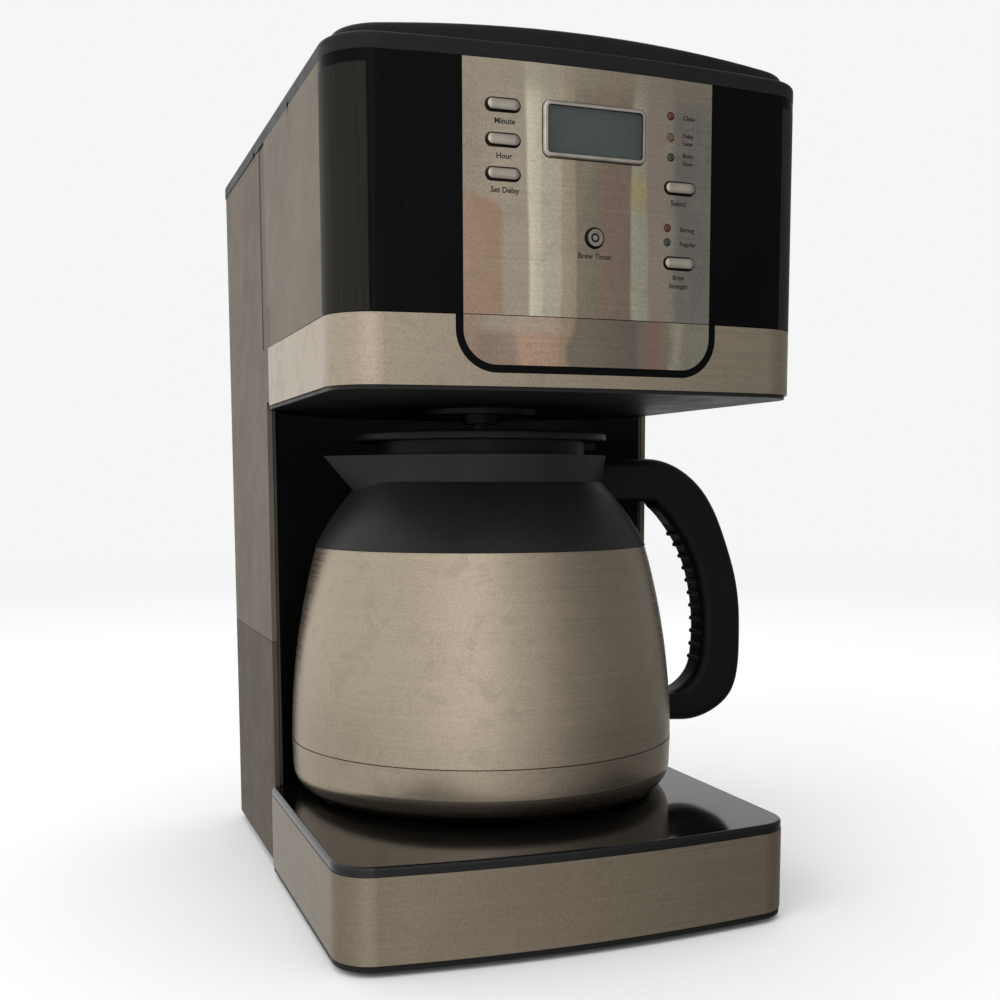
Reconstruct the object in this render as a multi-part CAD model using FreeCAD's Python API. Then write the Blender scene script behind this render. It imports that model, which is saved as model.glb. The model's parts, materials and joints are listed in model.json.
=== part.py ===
import FreeCAD, Part
import math
import os

from FreeCAD import Vector

# A drip coffee maker with a thermal carafe, in millimetres.
# While it is being drawn, x = 0 is the middle of the machine, y = 0 is just in front of the
# carafe axis, the front faces -Y, z = 0 is the worktop. Each solid is then moved by ORIGIN_SHIFT,
# so that the origin of the finished part is the bottom centre of its box, carafe handle included.

# ---------------------------------------------------------------- driving dimensions

HEAD_HALF = 100.0            # half the width of the head
HEAD_FRONT = -130.0          # front of the head, at the middle of its bow
HEAD_BOW = 680.0             # radius of the bowed front
HEAD_CORNER = 20.5           # radius of the head's front corners
HEAD_UNDERSIDE = 226.3       # lowest face of the head
BAND_BOTTOM = 227.8          # stainless band round the foot of the head
BAND_TOP = 254.2
SHELL_TOP = 346.8            # seam between the head's panels and the top deck
RIM_TOP = 353.2              # top of the deck's rim
LID_CREST = 364.5            # highest point of the crowned lid

TOWER_HALF = 99.6            # half the width of the rear tower
TOWER_FRONT = 22.8           # front face of the pillars beside the carafe
TOWER_BACK = 155.0
TOWER_BACK_CORNER = 20.0
TOWER_SEAM = 115.6           # joint between the lower and the upper tower covers
SIDE_SEAM = 14.0             # where the head's sides meet the tower

BASE_HALF = 101.4
BASE_FRONT = -129.2
BASE_BOW = 612.0
BASE_CORNER = 17.0
SKIRT_BOTTOM = 5.0
SKIRT_TOP = 40.35
PLATE_TOP = 44.4             # the surface that the carafe stands on

AXIS_Y = 2.0                 # y of the upright axis of the carafe and the brew basket
BAY_RADIUS = 98.0            # hollow of the tower round the carafe
SHEET = 0.8                  # stainless sheet
WALL = 2.4                   # moulded plastic wall
GAP = 0.3                    # clearance between neighbouring pieces
SEAM = 0.15                  # half of a visible seam
FASCIA_BACK = -104.0         # where the fascia ends and the side panels begin
FASCIA_THICK = 3.0
FLOOR_THICK = 3.0            # underside of the head
HEAD_INSIDE = HEAD_UNDERSIDE + FLOOR_THICK + 0.2
DECK_TOP = SHELL_TOP + 2.6   # plate of the top deck, inside its rim
ABOVE = 400.0                # higher than the whole machine, for cuts
VENTS = (-45.0, 41.0)        # y of the small notches under the deck's rim
CREASE_X = 86.5              # fine upright groove in the fascia's corners
GROOVE = 0.6                 # width of a fine groove
GROOVE_DEPTH = 0.4
RECESS_DEPTH = 0.8           # shallow step in the sides where the head meets the tower
RECESS_BACK = 30.0

# control panel
PANEL_HALF = 51.8
PANEL_BOTTOM = 235.8
PANEL_CORNER = 13.0
PANEL_RECESS = 3.0           # black border between the panel's foot and the band
PANEL_THICK = 1.0
BUTTON_LENGTH = 13.6
BUTTON_HEIGHT = 5.0
BUTTON_PROUD = 1.2
BUTTONS = {
    "minute_button": (-36.3, 330.4),
    "hour_button": (-36.3, 317.9),
    "delay_button": (-36.3, 305.6),
    "select_button": (37.4, 305.8),
    "strength_button": (37.4, 277.1),
}
TIMER_BUTTON = (0.6, 284.5)
TIMER_RADIUS = 3.9
LED_RADIUS = 1.4
LEDS = {
    "red_leds": [(33.1, 332.8), (32.1, 290.5)],
    "amber_led": [(33.2, 324.8)],
    "green_leds": [(33.3, 317.3), (32.1, 285.0)],
}
LCD_CENTRE = (0.6, 323.3)
LCD_SIZE = (42.6, 20.8)
LCD_FRAME = 1.6              # width of the bright frame round the display
BOARD_FRONT = -117.0         # front face of the control board
BOARD_THICK = 1.6

# brewing
WELL_RADIUS = 62.0           # inside of the well that holds the basket
BASKET_TOP_RADIUS = 57.0
BASKET_FOOT_RADIUS = 45.0
BASKET_FLOOR = 236.0
BASKET_RIM = 318.0
SPRING_TURNS = 4.5
SPRING_RADIUS = 5.0          # to the middle of the wire
SPRING_WIRE = 0.47           # half the wire, to its corners
VALVE_TIP = 215.6            # foot of the drip-stop valve, just clear of the carafe's lid
SHOWER_RADIUS = 34.0

# lid
LID_INSET = 5.0
LID_BACK = 130.0
LID_SIDE_CROWN = 900.0       # crown across the machine
LID_LONG_CROWN = 2500.0      # crown from front to back
LID_ROUND = 2.6
HINGE_Y = 136.0
HINGE_Z = 355.0
HINGE_X = 67.0
KNUCKLE = 10.0               # length of the lid's knuckle
PIN_RADIUS = 1.5
PIN_FIT = 0.05
KNUCKLE_RADIUS = 3.2
EAR_THICK = 4.0              # the deck's ears on both sides of each knuckle
EAR_GAP = 0.4
LID_FOOT = SHELL_TOP + 3.1   # lower edge of the lid's skirt

# water tank
TANK_FLOOR = 120.0
TANK_TOP = 328.0
TANK_FRONT = 64.0
TANK_RIGHT = 70.0            # the hoses pass on the right of this
OUTLET = (40.0, 118.0)       # x, y of the tank's outlet
NOZZLE = (36.0, 84.0)        # x, y of the hot water nozzle
DUCT = (80.0, 82.0)          # x, y of the hose duct beside the tank
HOSE_RADIUS = 5.0
HOSE_BORE = 3.2
HOSE_BEND = 8.0
HEATER_Z = 27.0
HEATER_RADIUS = 54.0
HEATER_TURN = 290.0          # degrees of the horseshoe
HEATER_START = 125.0

# carafe
CARAFE_RADIUS = 93.0         # widest, where the wall stands upright
CARAFE_WIDEST = 68.0         # height of the widest ring
CARAFE_FLANK = 340.0         # radius of the flank's curve
CARAFE_FOOT = 44.7
CUP_TOP = 69.6
STEEL_BOTTOM = 70.0
STEEL_TOP = 161.5
LINER_GAP = 5.0              # vacuum space
COLLAR_RIDGE = 193.0
COLLAR_TOP = 204.3
COLLAR_RIDGE_RADIUS = 57.6
COLLAR_TOP_RADIUS = 61.0
SPOUT_REACH = 77.5
MOUTH_RADIUS = 46.0
BREW_HOLE = 4.6              # hole in the carafe's lid, under the drip stop
CAP_BOTTOM = 211.0
CAP_TOP = 215.0
CAP_RADIUS = 61.0
CAP_NECK = 50.5
HANDLE_HALF = 9.0            # half the handle's thickness
HANDLE_ROUND = 5.0
HANDLE_REACH = 142.8         # furthest point of the handle from the middle of the machine
HANDLE_BACK = [(84.0, 203.4), (104.0, 199.6), (120.0, 187.0), (134.0, 160.0), (139.4, 143.5), (142.3, 126.0),
               (HANDLE_REACH, 110.0), (141.9, 93.0), (138.2, 81.5), (129.0, 73.0), (110.0, 68.0)]
HANDLE_PALM = [(100.0, 83.0), (106.0, 84.6), (112.5, 88.8), (117.2, 95.0), (119.2, 104.0), (119.8, 118.0),
               (118.4, 132.0), (114.8, 147.0), (109.8, 158.5), (103.0, 168.5), (96.0, 176.5), (86.0, 183.5)]
GRIP_LOW = 94.0              # lowest and highest rib of the soft grip
GRIP_HIGH = 172.0
GRIP_DEEP = 2.4
GRIP_HALF = 5.6
RIB_RADIUS = 1.2

# base
FOOT_PLACES = [(-82, -108), (82, -108), (-80, 128), (80, 128)]
SCREW_PLACES = [(-60, -112), (60, -112), (-84, -20), (84, -20), (-40, 146), (40, 146)]
GLAND = (-50.0, 30.0)        # x, z of the cord's inlet in the back

GLAND_PROUD = 2.0
FRONT_MOST = HEAD_FRONT - BUTTON_PROUD
BACK_MOST = TOWER_BACK + GLAND_PROUD
ORIGIN_SHIFT = Vector((BASE_HALF - HANDLE_REACH) / 2, -(BACK_MOST + FRONT_MOST) / 2, 0)

# ---------------------------------------------------------------- helpers


def box(x0, x1, y0, y1, z0, z1):
    return Part.makeBox(x1 - x0, y1 - y0, z1 - z0, Vector(x0, y0, z0))


def cylinder(radius, z0, z1, x=0.0, y=AXIS_Y):
    return Part.makeCylinder(radius, z1 - z0, Vector(x, y, z0))


def tube_ring(outer, inner, z0, z1, x=0.0, y=AXIS_Y):
    return cylinder(outer, z0, z1, x, y).cut(cylinder(inner, z0 - 1, z1 + 1, x, y))


def along_y(radius, y0, y1, x, z):
    return Part.makeCylinder(radius, y1 - y0, Vector(x, y0, z), Vector(0, 1, 0))


def along_x(radius, x0, x1, y, z):
    return Part.makeCylinder(radius, x1 - x0, Vector(x0, y, z), Vector(1, 0, 0))


def pill(width, height, y0, y1, x, z):
    """A slot-shaped prism along Y: straight top and bottom, round ends."""
    r = height / 2
    half = width / 2 - r
    body = box(x - half, x + half, y0, y1, z - r, z + r)
    return body.fuse([along_y(r, y0, y1, x - half, z), along_y(r, y0, y1, x + half, z)]).removeSplitter()


def rounded_plate(width, height, corner, y0, y1, x, z):
    """A rectangle with round corners, extruded along Y."""
    plate = box(x - width / 2, x + width / 2, y0, y1, z - height / 2, z + height / 2)
    upright = [e for e in plate.Edges if abs(e.tangentAt(e.FirstParameter).y) > 0.9]
    return plate.makeFillet(corner, upright)


def closed_face(edges):
    return Part.Face(Part.Wire(edges))


def plan_face(half, front, bow, corner, back, back_corner, inset=0.0):
    """An outline seen from above: bowed front, round front corners, straight sides, round back."""
    w = half - inset
    y_front = front + inset
    bow_r = bow - inset
    r = corner - inset
    y_back = back - inset
    rb = max(back_corner - inset, 0.5)
    bow_centre = y_front + bow_r
    cx = w - r
    cy = bow_centre - math.sqrt((bow_r - r) ** 2 - cx ** 2)
    reach = bow_r / (bow_r - r)
    tx = cx * reach
    ty = bow_centre + (cy - bow_centre) * reach
    mid = math.atan2(ty - cy, tx - cx) / 2
    mx = cx + r * math.cos(mid)
    my = cy + r * math.sin(mid)
    k = rb * (1 - math.sqrt(0.5))
    v = Vector
    edges = [
        Part.Arc(v(-tx, ty), v(0, y_front), v(tx, ty)).toShape(),
        Part.Arc(v(tx, ty), v(mx, my), v(w, cy)).toShape(),
        Part.makeLine(v(w, cy), v(w, y_back - rb)),
        Part.Arc(v(w, y_back - rb), v(w - k, y_back - k), v(w - rb, y_back)).toShape(),
        Part.makeLine(v(w - rb, y_back), v(-w + rb, y_back)),
        Part.Arc(v(-w + rb, y_back), v(-w + k, y_back - k), v(-w, y_back - rb)).toShape(),
        Part.makeLine(v(-w, y_back - rb), v(-w, cy)),
        Part.Arc(v(-w, cy), v(-mx, my), v(-tx, ty)).toShape(),
    ]
    return closed_face(edges)


def prism(face, z0, z1):
    solid = face.copy()
    solid.translate(Vector(0, 0, z0))
    return solid.extrude(Vector(0, 0, z1 - z0))


def head_block(inset, z0, z1):
    face = plan_face(HEAD_HALF, HEAD_FRONT, HEAD_BOW, HEAD_CORNER, TOWER_BACK, TOWER_BACK_CORNER, inset)
    return prism(face, z0, z1)


def base_block(inset, z0, z1):
    face = plan_face(BASE_HALF, BASE_FRONT, BASE_BOW, BASE_CORNER, TOWER_BACK, TOWER_BACK_CORNER, inset)
    return prism(face, z0, z1)


def tower_block(inset, z0, z1):
    face = plan_face(TOWER_HALF, HEAD_FRONT, HEAD_BOW, HEAD_CORNER, TOWER_BACK, TOWER_BACK_CORNER, inset)
    return prism(face, z0, z1)


def head_shell(inset, thick, z0, z1):
    return head_block(inset, z0, z1).cut(head_block(inset + thick, z0 - 1, z1 + 1))


def base_wrap(inset, thick, z0, z1):
    return base_block(inset, z0, z1).cut(base_block(inset + thick, z0 - 1, z1 + 1))


def slab(y0, y1, z0=-5.0, z1=ABOVE, half=150.0):
    """A box over the whole width, to keep or remove a stretch of the machine."""
    return box(-half, half, y0, y1, z0, z1)


def both_sides(x, width):
    """Two thin upright slabs, one on each side of the machine, at the distance x from its middle."""
    half = width / 2
    right = box(x - half, x + half, -150, 200, -5, ABOVE)
    left = box(-x - half, -x + half, -150, 200, -5, ABOVE)
    return right.fuse(left)


def side_step(outline):
    """A shallow step in both sides of the machine, from its (y, z) outline."""
    points = [Vector(0, y, z) for y, z in outline]
    face = Part.Face(Part.makePolygon(points + [points[0]]))
    core = HEAD_HALF - RECESS_DEPTH
    right = face.extrude(Vector(20, 0, 0))
    left = face.extrude(Vector(-20, 0, 0))
    right.translate(Vector(core, 0, 0))
    left.translate(Vector(-core, 0, 0))
    return [right, left]


def revolve(points, degrees=360.0, start=0.0):
    """Turns a closed (radius, z) outline about the carafe axis."""
    outline = [Vector(r, 0, z) for r, z in points]
    face = Part.Face(Part.makePolygon(outline + [outline[0]]))
    return spin(face, degrees, start)


def spin(face, degrees=360.0, start=0.0):
    solid = face.revolve(Vector(0, 0, 0), Vector(0, 0, 1), degrees)
    solid.rotate(Vector(0, 0, 0), Vector(0, 0, 1), start)
    solid.translate(Vector(0, AXIS_Y, 0))
    return solid


def line(a, b):
    return Part.makeLine(Vector(a[0], 0, a[1]), Vector(b[0], 0, b[1]))


def arc(a, m, b):
    return Part.Arc(Vector(a[0], 0, a[1]), Vector(m[0], 0, m[1]), Vector(b[0], 0, b[1])).toShape()


def hose(points):
    """A hollow tube along straight runs joined by tangent arcs of one bend radius."""
    pts = [Vector(*p) for p in points]
    edges = []
    start = pts[0]
    for before, corner, after in zip(pts, pts[1:], pts[2:]):
        u = (before - corner).normalize()
        w = (after - corner).normalize()
        half_turn = (math.pi - u.getAngle(w)) / 2
        cut = HOSE_BEND * math.tan(half_turn)
        a = corner + u * cut
        b = corner + w * cut
        inward = (u + w).normalize()
        m = corner + inward * (HOSE_BEND / math.cos(half_turn) - HOSE_BEND)
        edges.append(Part.makeLine(start, a))
        edges.append(Part.Arc(a, m, b).toShape())
        start = b
    edges.append(Part.makeLine(start, pts[-1]))
    path = Part.Wire(edges)
    way = (pts[1] - pts[0]).normalize()

    def sweep(r):
        section = Part.Wire(Part.makeCircle(r, pts[0], way))
        return path.makePipeShell([section], True, False)

    return sweep(HOSE_RADIUS).cut(sweep(HOSE_BORE))


def group(solids):
    return Part.makeCompound(solids)


def surface_y(x):
    """y of the bowed front of the head at a distance x from the middle."""
    return HEAD_FRONT + HEAD_BOW - math.sqrt(HEAD_BOW ** 2 - x ** 2)


# ---------------------------------------------------------------- head

def panel_outline(grow, z_top):
    """The control panel's outline seen from the front: square top, round bottom corners."""
    half = PANEL_HALF + grow
    foot = PANEL_BOTTOM - grow
    r = PANEL_CORNER + grow
    block = box(-half, half, HEAD_FRONT - 5, HEAD_FRONT + 12, foot, z_top)
    low = [e for e in block.Edges if e.CenterOfMass.z < foot + 0.1]
    low = [e for e in low if abs(abs(e.CenterOfMass.x) - half) < 0.1]
    return block.makeFillet(r, low)


def control_cutouts(clear):
    """Everything that passes through the panel and the fascia behind it."""
    y0 = HEAD_FRONT - 5
    y1 = HEAD_FRONT + 12
    width = BUTTON_LENGTH + 2 * clear
    height = BUTTON_HEIGHT + 2 * clear
    holes = [pill(width, height, y0, y1, x, z) for x, z in BUTTONS.values()]
    holes.append(along_y(TIMER_RADIUS + clear, y0, y1, *TIMER_BUTTON))
    for places in LEDS.values():
        holes += [along_y(LED_RADIUS + clear, y0, y1, x, z) for x, z in places]
    lcd_w = LCD_SIZE[0] + 2 * clear
    lcd_h = LCD_SIZE[1] + 2 * clear
    holes.append(rounded_plate(lcd_w, lcd_h, 3.0 + clear, y0, y1, *LCD_CENTRE))
    return holes


def vent_notches():
    """Small wedges cut in the top seam of both sides."""
    cuts = []
    for side in (-1, 1):
        for y in VENTS:
            x = side * HEAD_HALF
            corners = [Vector(x, y - 2.5, SHELL_TOP + 1.5), Vector(x, y + 2.0, SHELL_TOP + 1.5),
                       Vector(x, y + 2.0, SHELL_TOP - 3.5)]
            face = Part.Face(Part.makePolygon(corners + [corners[0]]))
            face.translate(Vector(-1.2, 0, 0))
            cuts.append(face.extrude(Vector(2.4, 0, 0)))
    return cuts


def front_fascia():
    wrap = head_shell(0, FASCIA_THICK, BAND_TOP + SEAM, SHELL_TOP - SEAM)
    wrap = wrap.common(slab(-150, FASCIA_BACK - SEAM))
    tongue = head_shell(0.5, FASCIA_THICK - 0.5, PANEL_BOTTOM - PANEL_RECESS + 0.2, BAND_TOP + SEAM)
    tongue = tongue.common(panel_outline(PANEL_RECESS - 0.2, BAND_TOP + 1))
    seat = head_block(-2, PANEL_BOTTOM - 1, ABOVE).cut(head_block(PANEL_THICK, PANEL_BOTTOM - 2, 401))
    seat = seat.common(panel_outline(0.2, ABOVE))
    skin = head_shell(0, GROOVE_DEPTH, BAND_TOP + 1.0, SHELL_TOP - 4.0)
    creases = skin.common(both_sides(CREASE_X, GROOVE))
    return wrap.fuse(tongue).cut(seat).cut(control_cutouts(GAP)).cut(creases).removeSplitter()


def control_panel():
    plate = head_shell(0, PANEL_THICK, BAND_TOP + SEAM, SHELL_TOP - SEAM)
    return plate.common(panel_outline(0, ABOVE)).cut(control_cutouts(0.2))


def lower_panel():
    plate = head_shell(0, PANEL_THICK, PANEL_BOTTOM, BAND_TOP - SEAM)
    return plate.common(panel_outline(0, ABOVE))


def trim_band():
    band = head_shell(0, SHEET, BAND_BOTTOM, BAND_TOP - SEAM).common(slab(-150, SIDE_SEAM - SEAM))
    return band.cut(panel_outline(PANEL_RECESS, ABOVE))


def side_panel(side):
    wall = head_shell(0, WALL, BAND_TOP + SEAM, SHELL_TOP - SEAM)
    x0, x1 = (0, 150) if side > 0 else (-150, 0)
    wall = wall.common(box(x0, x1, FASCIA_BACK + SEAM, SIDE_SEAM - SEAM, 0, ABOVE))
    step = side_step([(20, 276), (1, 269), (-15, 259), (-15, 250), (20, 250)])
    return wall.cut(vent_notches()).cut(step)


def head_frame():
    """The black chassis behind the panels: a wall, a cross wall behind the board, screw bosses."""
    wall = head_shell(FASCIA_THICK + GAP, 2.0, HEAD_INSIDE, SHELL_TOP - SEAM)
    wall = wall.common(slab(-150, SIDE_SEAM - SEAM))
    inner = FASCIA_THICK + GAP + 2.0
    cross = head_block(inner - 0.5, HEAD_INSIDE, 340).common(slab(-98, -96))
    window = box(-60, 60, -140, -110, PANEL_BOTTOM + 8, SHELL_TOP - 6)
    bosses = [along_y(3.5, -112, -98, x, z) for x in (-46, 46) for z in (266, 338)]
    return wall.cut(window).fuse([cross] + bosses).removeSplitter()


def head_floor():
    """The underside of the head, which also roofs the carafe bay."""
    top = HEAD_UNDERSIDE + FLOOR_THICK
    under = head_block(1.2, HEAD_UNDERSIDE, top).common(slab(-150, TOWER_FRONT - 0.5))
    roof = cylinder(BAY_RADIUS - GAP, HEAD_UNDERSIDE, top)
    outlet = cylinder(24.0, 200, 260)
    floor = under.fuse(roof).removeSplitter().cut(outlet)
    collar = tube_ring(27.0, 24.0, HEAD_UNDERSIDE - 2.5, HEAD_UNDERSIDE)
    return floor.fuse(collar).removeSplitter()


def top_deck():
    """The deck under the lid: a rim round a plate with openings for the basket and the tank."""
    outer = head_block(0, SHELL_TOP, RIM_TOP)
    top_edges = [e for e in outer.Edges if e.CenterOfMass.z > RIM_TOP - 0.01]
    outer = outer.makeFillet(1.8, top_edges)
    deck = outer.cut(head_block(4.0, DECK_TOP, RIM_TOP + 1).common(slab(-150, LID_BACK + 1.0)))
    deck = deck.cut(cylinder(WELL_RADIUS, 300, ABOVE))
    fill = tank_region(3.6, SHELL_TOP - 10, RIM_TOP + 1).common(slab(76, 120))
    deck = deck.cut(fill)
    nozzle = cylinder(6.0 + GAP, 300, ABOVE, *NOZZLE)
    deck = deck.cut(nozzle).cut(vent_notches())
    ears = []
    for side in (-1, 1):
        reach = KNUCKLE / 2 + EAR_GAP + EAR_THICK
        x0 = side * HINGE_X - reach - 0.2
        x1 = side * HINGE_X + reach + 0.2
        deck = deck.cut(box(x0, x1, LID_BACK + 0.5, HINGE_Y + 6.0, DECK_TOP, ABOVE))
        for start in (side * HINGE_X - reach, side * HINGE_X + reach - EAR_THICK):
            end = start + EAR_THICK
            ear = along_x(KNUCKLE_RADIUS, start, end, HINGE_Y, HINGE_Z)
            foot = box(start, end, HINGE_Y - KNUCKLE_RADIUS, HINGE_Y + KNUCKLE_RADIUS, DECK_TOP, HINGE_Z)
            ears.append(ear.fuse(foot))
    bores = hinge_rods(PIN_RADIUS + 0.02, 20.0)
    return deck.fuse(ears).cut(bores).removeSplitter()


def hinge_rods(radius, reach):
    """A pair of rods on the lid's axis, one through the middle of each hinge."""
    middles = (-HINGE_X, HINGE_X)
    return [along_x(radius, x - reach, x + reach, HINGE_Y, HINGE_Z) for x in middles]


def hinge_pins():
    return group(hinge_rods(PIN_RADIUS, KNUCKLE / 2 + 4.2))


# ---------------------------------------------------------------- lid


def crown(crest):
    """A thick sheet whose top is curved both across the machine and from front to back."""
    drop = LID_SIDE_CROWN - math.sqrt(LID_SIDE_CROWN ** 2 - 150.0 ** 2)
    low = crest - drop - 25.0
    section = closed_face([arc((-150, crest - drop), (0, crest), (150, crest - drop)),
                           line((150, crest - drop), (150, low)), line((150, low), (-150, low)),
                           line((-150, low), (-150, crest - drop))])
    pivot = Vector(0, 0, crest - LID_LONG_CROWN)
    section.rotate(pivot, Vector(1, 0, 0), -4.0)
    return section.revolve(pivot, Vector(1, 0, 0), 8.0)


def crowned_block(inset, crest, z0):
    """The lid's outline raised to the crowned surface."""
    block = head_block(inset, z0, crest + 10).common(slab(-150, LID_BACK - (inset - LID_INSET)))
    return block.common(crown(crest))


def lid_cover():
    outer = crowned_block(LID_INSET, LID_CREST, LID_FOOT)
    edges = [e for e in outer.Edges if e.BoundBox.ZMin > RIM_TOP and e.BoundBox.YLength > 1.0]
    outer = outer.makeFillet(LID_ROUND, edges)
    inner = crowned_block(LID_INSET + WALL, LID_CREST - WALL, SHELL_TOP - 5)
    cover = outer.cut(inner)
    knuckles = []
    for side in (-1, 1):
        x0 = side * HINGE_X - KNUCKLE / 2
        x1 = side * HINGE_X + KNUCKLE / 2
        barrel = along_x(KNUCKLE_RADIUS, x0, x1, HINGE_Y, HINGE_Z)
        arm = box(x0, x1, LID_BACK - 1.5, HINGE_Y, HINGE_Z - 2.0, HINGE_Z + 2.4)
        knuckles.append(barrel.fuse(arm))
    bores = hinge_rods(PIN_RADIUS + PIN_FIT, 20.0)
    return cover.fuse(knuckles).cut(bores).removeSplitter()


def lid_liner():
    """The moulding under the lid: a plate with a channel that feeds the shower head."""
    z0 = SHELL_TOP + 3.4
    plate = head_block(LID_INSET + 2.8, z0, z0 + 1.6).common(slab(-150, LID_BACK - 3.0))
    cup = cylinder(SHOWER_RADIUS + 2.0, 338, z0 + 0.5)
    trough = box(-9, 45, 20, 86, SHELL_TOP + 2.9, z0 + 0.5)
    body = plate.fuse([cup, trough])
    hollow = cylinder(SHOWER_RADIUS + 0.2, 337, z0 + 1.0)
    channel = box(-7, 43, 19, 84, SHELL_TOP + 2.0, z0 + 1.0)
    return body.cut([hollow, channel]).removeSplitter()


def shower_head():
    """A shallow dish with two rings of small drip holes and one in the middle."""
    dish = cylinder(SHOWER_RADIUS, 338.5, 344.0).cut(cylinder(SHOWER_RADIUS - 2.0, 340.5, 345.0))
    holes = [cylinder(1.4, 330, 350)]
    for ring, count in ((14.0, 8), (26.0, 14)):
        for k in range(count):
            a = 2 * math.pi * k / count
            holes.append(cylinder(1.4, 330, 350, ring * math.cos(a), AXIS_Y + ring * math.sin(a)))
    return dish.cut(holes)


# ---------------------------------------------------------------- brewing


def basket_well():
    """The round wall of the well. The underside of the head closes it below."""
    return tube_ring(WELL_RADIUS + 2.0, WELL_RADIUS, HEAD_INSIDE, SHELL_TOP - SEAM)


def brew_basket():
    top = BASKET_RIM
    foot = BASKET_FLOOR
    rim_r = WELL_RADIUS - 0.8
    outer = revolve([(0, foot), (BASKET_FOOT_RADIUS, foot), (BASKET_TOP_RADIUS, top - 3.0),
                     (rim_r, top - 3.0), (rim_r, top), (0, top)])
    hollow = revolve([(0, foot + 2.0), (BASKET_FOOT_RADIUS - 2.0, foot + 2.0),
                      (BASKET_TOP_RADIUS - 2.0, top + 1), (0, top + 1)])
    ribs = []
    for k in range(12):
        rib = box(14.0, BASKET_FOOT_RADIUS - 3.0, -0.8, 0.8, foot + 1.5, foot + 5.0)
        rib.rotate(Vector(0, 0, 0), Vector(0, 0, 1), 30.0 * k + 15.0)
        rib.translate(Vector(0, AXIS_Y, 0))
        ribs.append(rib)
    spout = cylinder(9.0, VALVE_TIP + 4.4, foot + 0.5)
    tabs = [box(s * 47 - 9, s * 47 + 9, AXIS_Y - 5, AXIS_Y + 5, top - 2.0, top + 9.0) for s in (-1, 1)]
    tabs = [t.common(tube_ring(rim_r, rim_r - 2.4, top - 3.0, top + 10.0)) for t in tabs]
    stand_r = BASKET_FOOT_RADIUS - 1.0
    stand = tube_ring(stand_r, stand_r - WALL, HEAD_INSIDE, foot + 0.5)
    basket = outer.cut(hollow).fuse(ribs + [spout, stand] + tabs)
    return basket.cut(cylinder(5.0, 200, foot + 3.0)).removeSplitter()


def drip_valve():
    """The drip stop's plunger: a disc over the outlet on a fluted stem with a round foot."""
    foot = BASKET_FLOOR
    stem = cylinder(3.0, VALVE_TIP + 2.5, foot + 3.0)
    tip = cylinder(4.4, VALVE_TIP, VALVE_TIP + 3.0)
    tip = tip.makeFillet(1.3, [e for e in tip.Edges if e.CenterOfMass.z < VALVE_TIP + 0.1])
    disc = cylinder(8.0, foot + 2.1, foot + 4.4)
    peg = cylinder(2.6, foot + 4.4, foot + 7.0)
    return stem.fuse([tip, disc, peg]).removeSplitter()


def valve_cage():
    foot = BASKET_FLOOR
    cage = cylinder(11.0, foot + 2.0, foot + 18.0).cut(cylinder(9.2, foot + 1.0, foot + 16.0))
    cage = cage.cut(cylinder(2.0, foot, foot + 30))
    windows = []
    for k in range(4):
        w = box(5, 15, -3.5, 3.5, foot + 3.5, foot + 12.5)
        w.rotate(Vector(0, 0, 0), Vector(0, 0, 1), 90.0 * k + 45.0)
        w.translate(Vector(0, AXIS_Y, 0))
        windows.append(w)
    return cage.cut(windows)


def valve_spring():
    """A helix of eight-sided wire between the plunger's disc and the top of the cage."""
    z0 = BASKET_FLOOR + 5.3
    z1 = BASKET_FLOOR + 15.1
    helix = Part.makeHelix((z1 - z0) / SPRING_TURNS, z1 - z0, SPRING_RADIUS)
    helix.translate(Vector(0, AXIS_Y, z0))
    wire_points = []
    for k in range(9):
        a = math.radians(45.0 * k + 22.5)
        across = SPRING_RADIUS + SPRING_WIRE * math.cos(a)
        wire_points.append(Vector(across, AXIS_Y, z0 + SPRING_WIRE * math.sin(a)))
    return Part.Wire(helix).makePipeShell([Part.makePolygon(wire_points)], True, True)


# ---------------------------------------------------------------- controls


def retained(cap, x, z, width, height):
    """A button cap with a flange behind the fascia and a push rod towards its switch."""
    back = surface_y(x) + FASCIA_THICK + GAP
    flange = pill(width + 3.4, height + 2.4, back + 0.6, back + 1.6, x, z)
    rod = along_y(1.6, back + 1.0, BOARD_FRONT - 4.4, x, z)
    return cap.fuse([flange, rod]).removeSplitter()


def pill_button(x, z):
    front = surface_y(x) - BUTTON_PROUD
    back = surface_y(x) + FASCIA_THICK + GAP
    cap = pill(BUTTON_LENGTH, BUTTON_HEIGHT, front, back + 0.8, x, z)
    face_edges = [e for e in cap.Edges if e.CenterOfMass.y < front + 0.01]
    return retained(cap.makeFillet(0.8, face_edges), x, z, BUTTON_LENGTH, BUTTON_HEIGHT)


def timer_button():
    x, z = TIMER_BUTTON
    front = surface_y(x) - BUTTON_PROUD
    back = surface_y(x) + FASCIA_THICK + GAP
    cap = along_y(TIMER_RADIUS, front, back + 0.8, x, z)
    cap = cap.makeFillet(0.7, [e for e in cap.Edges if e.CenterOfMass.y < front + 0.01])
    dish = along_y(TIMER_RADIUS - 1.4, front - 1, front + 0.4, x, z)
    return retained(cap.cut(dish), x, z, 2 * TIMER_RADIUS, 2 * TIMER_RADIUS)


def leds(places):
    """Round light guides that run from the board to just proud of the panel."""
    solids = []
    for x, z in places:
        front = surface_y(x) - 0.4
        lens = along_y(LED_RADIUS, front, BOARD_FRONT - 0.1, x, z)
        solids.append(lens.makeFillet(0.6, [e for e in lens.Edges if e.CenterOfMass.y < front + 0.01]))
    return group(solids)


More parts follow.
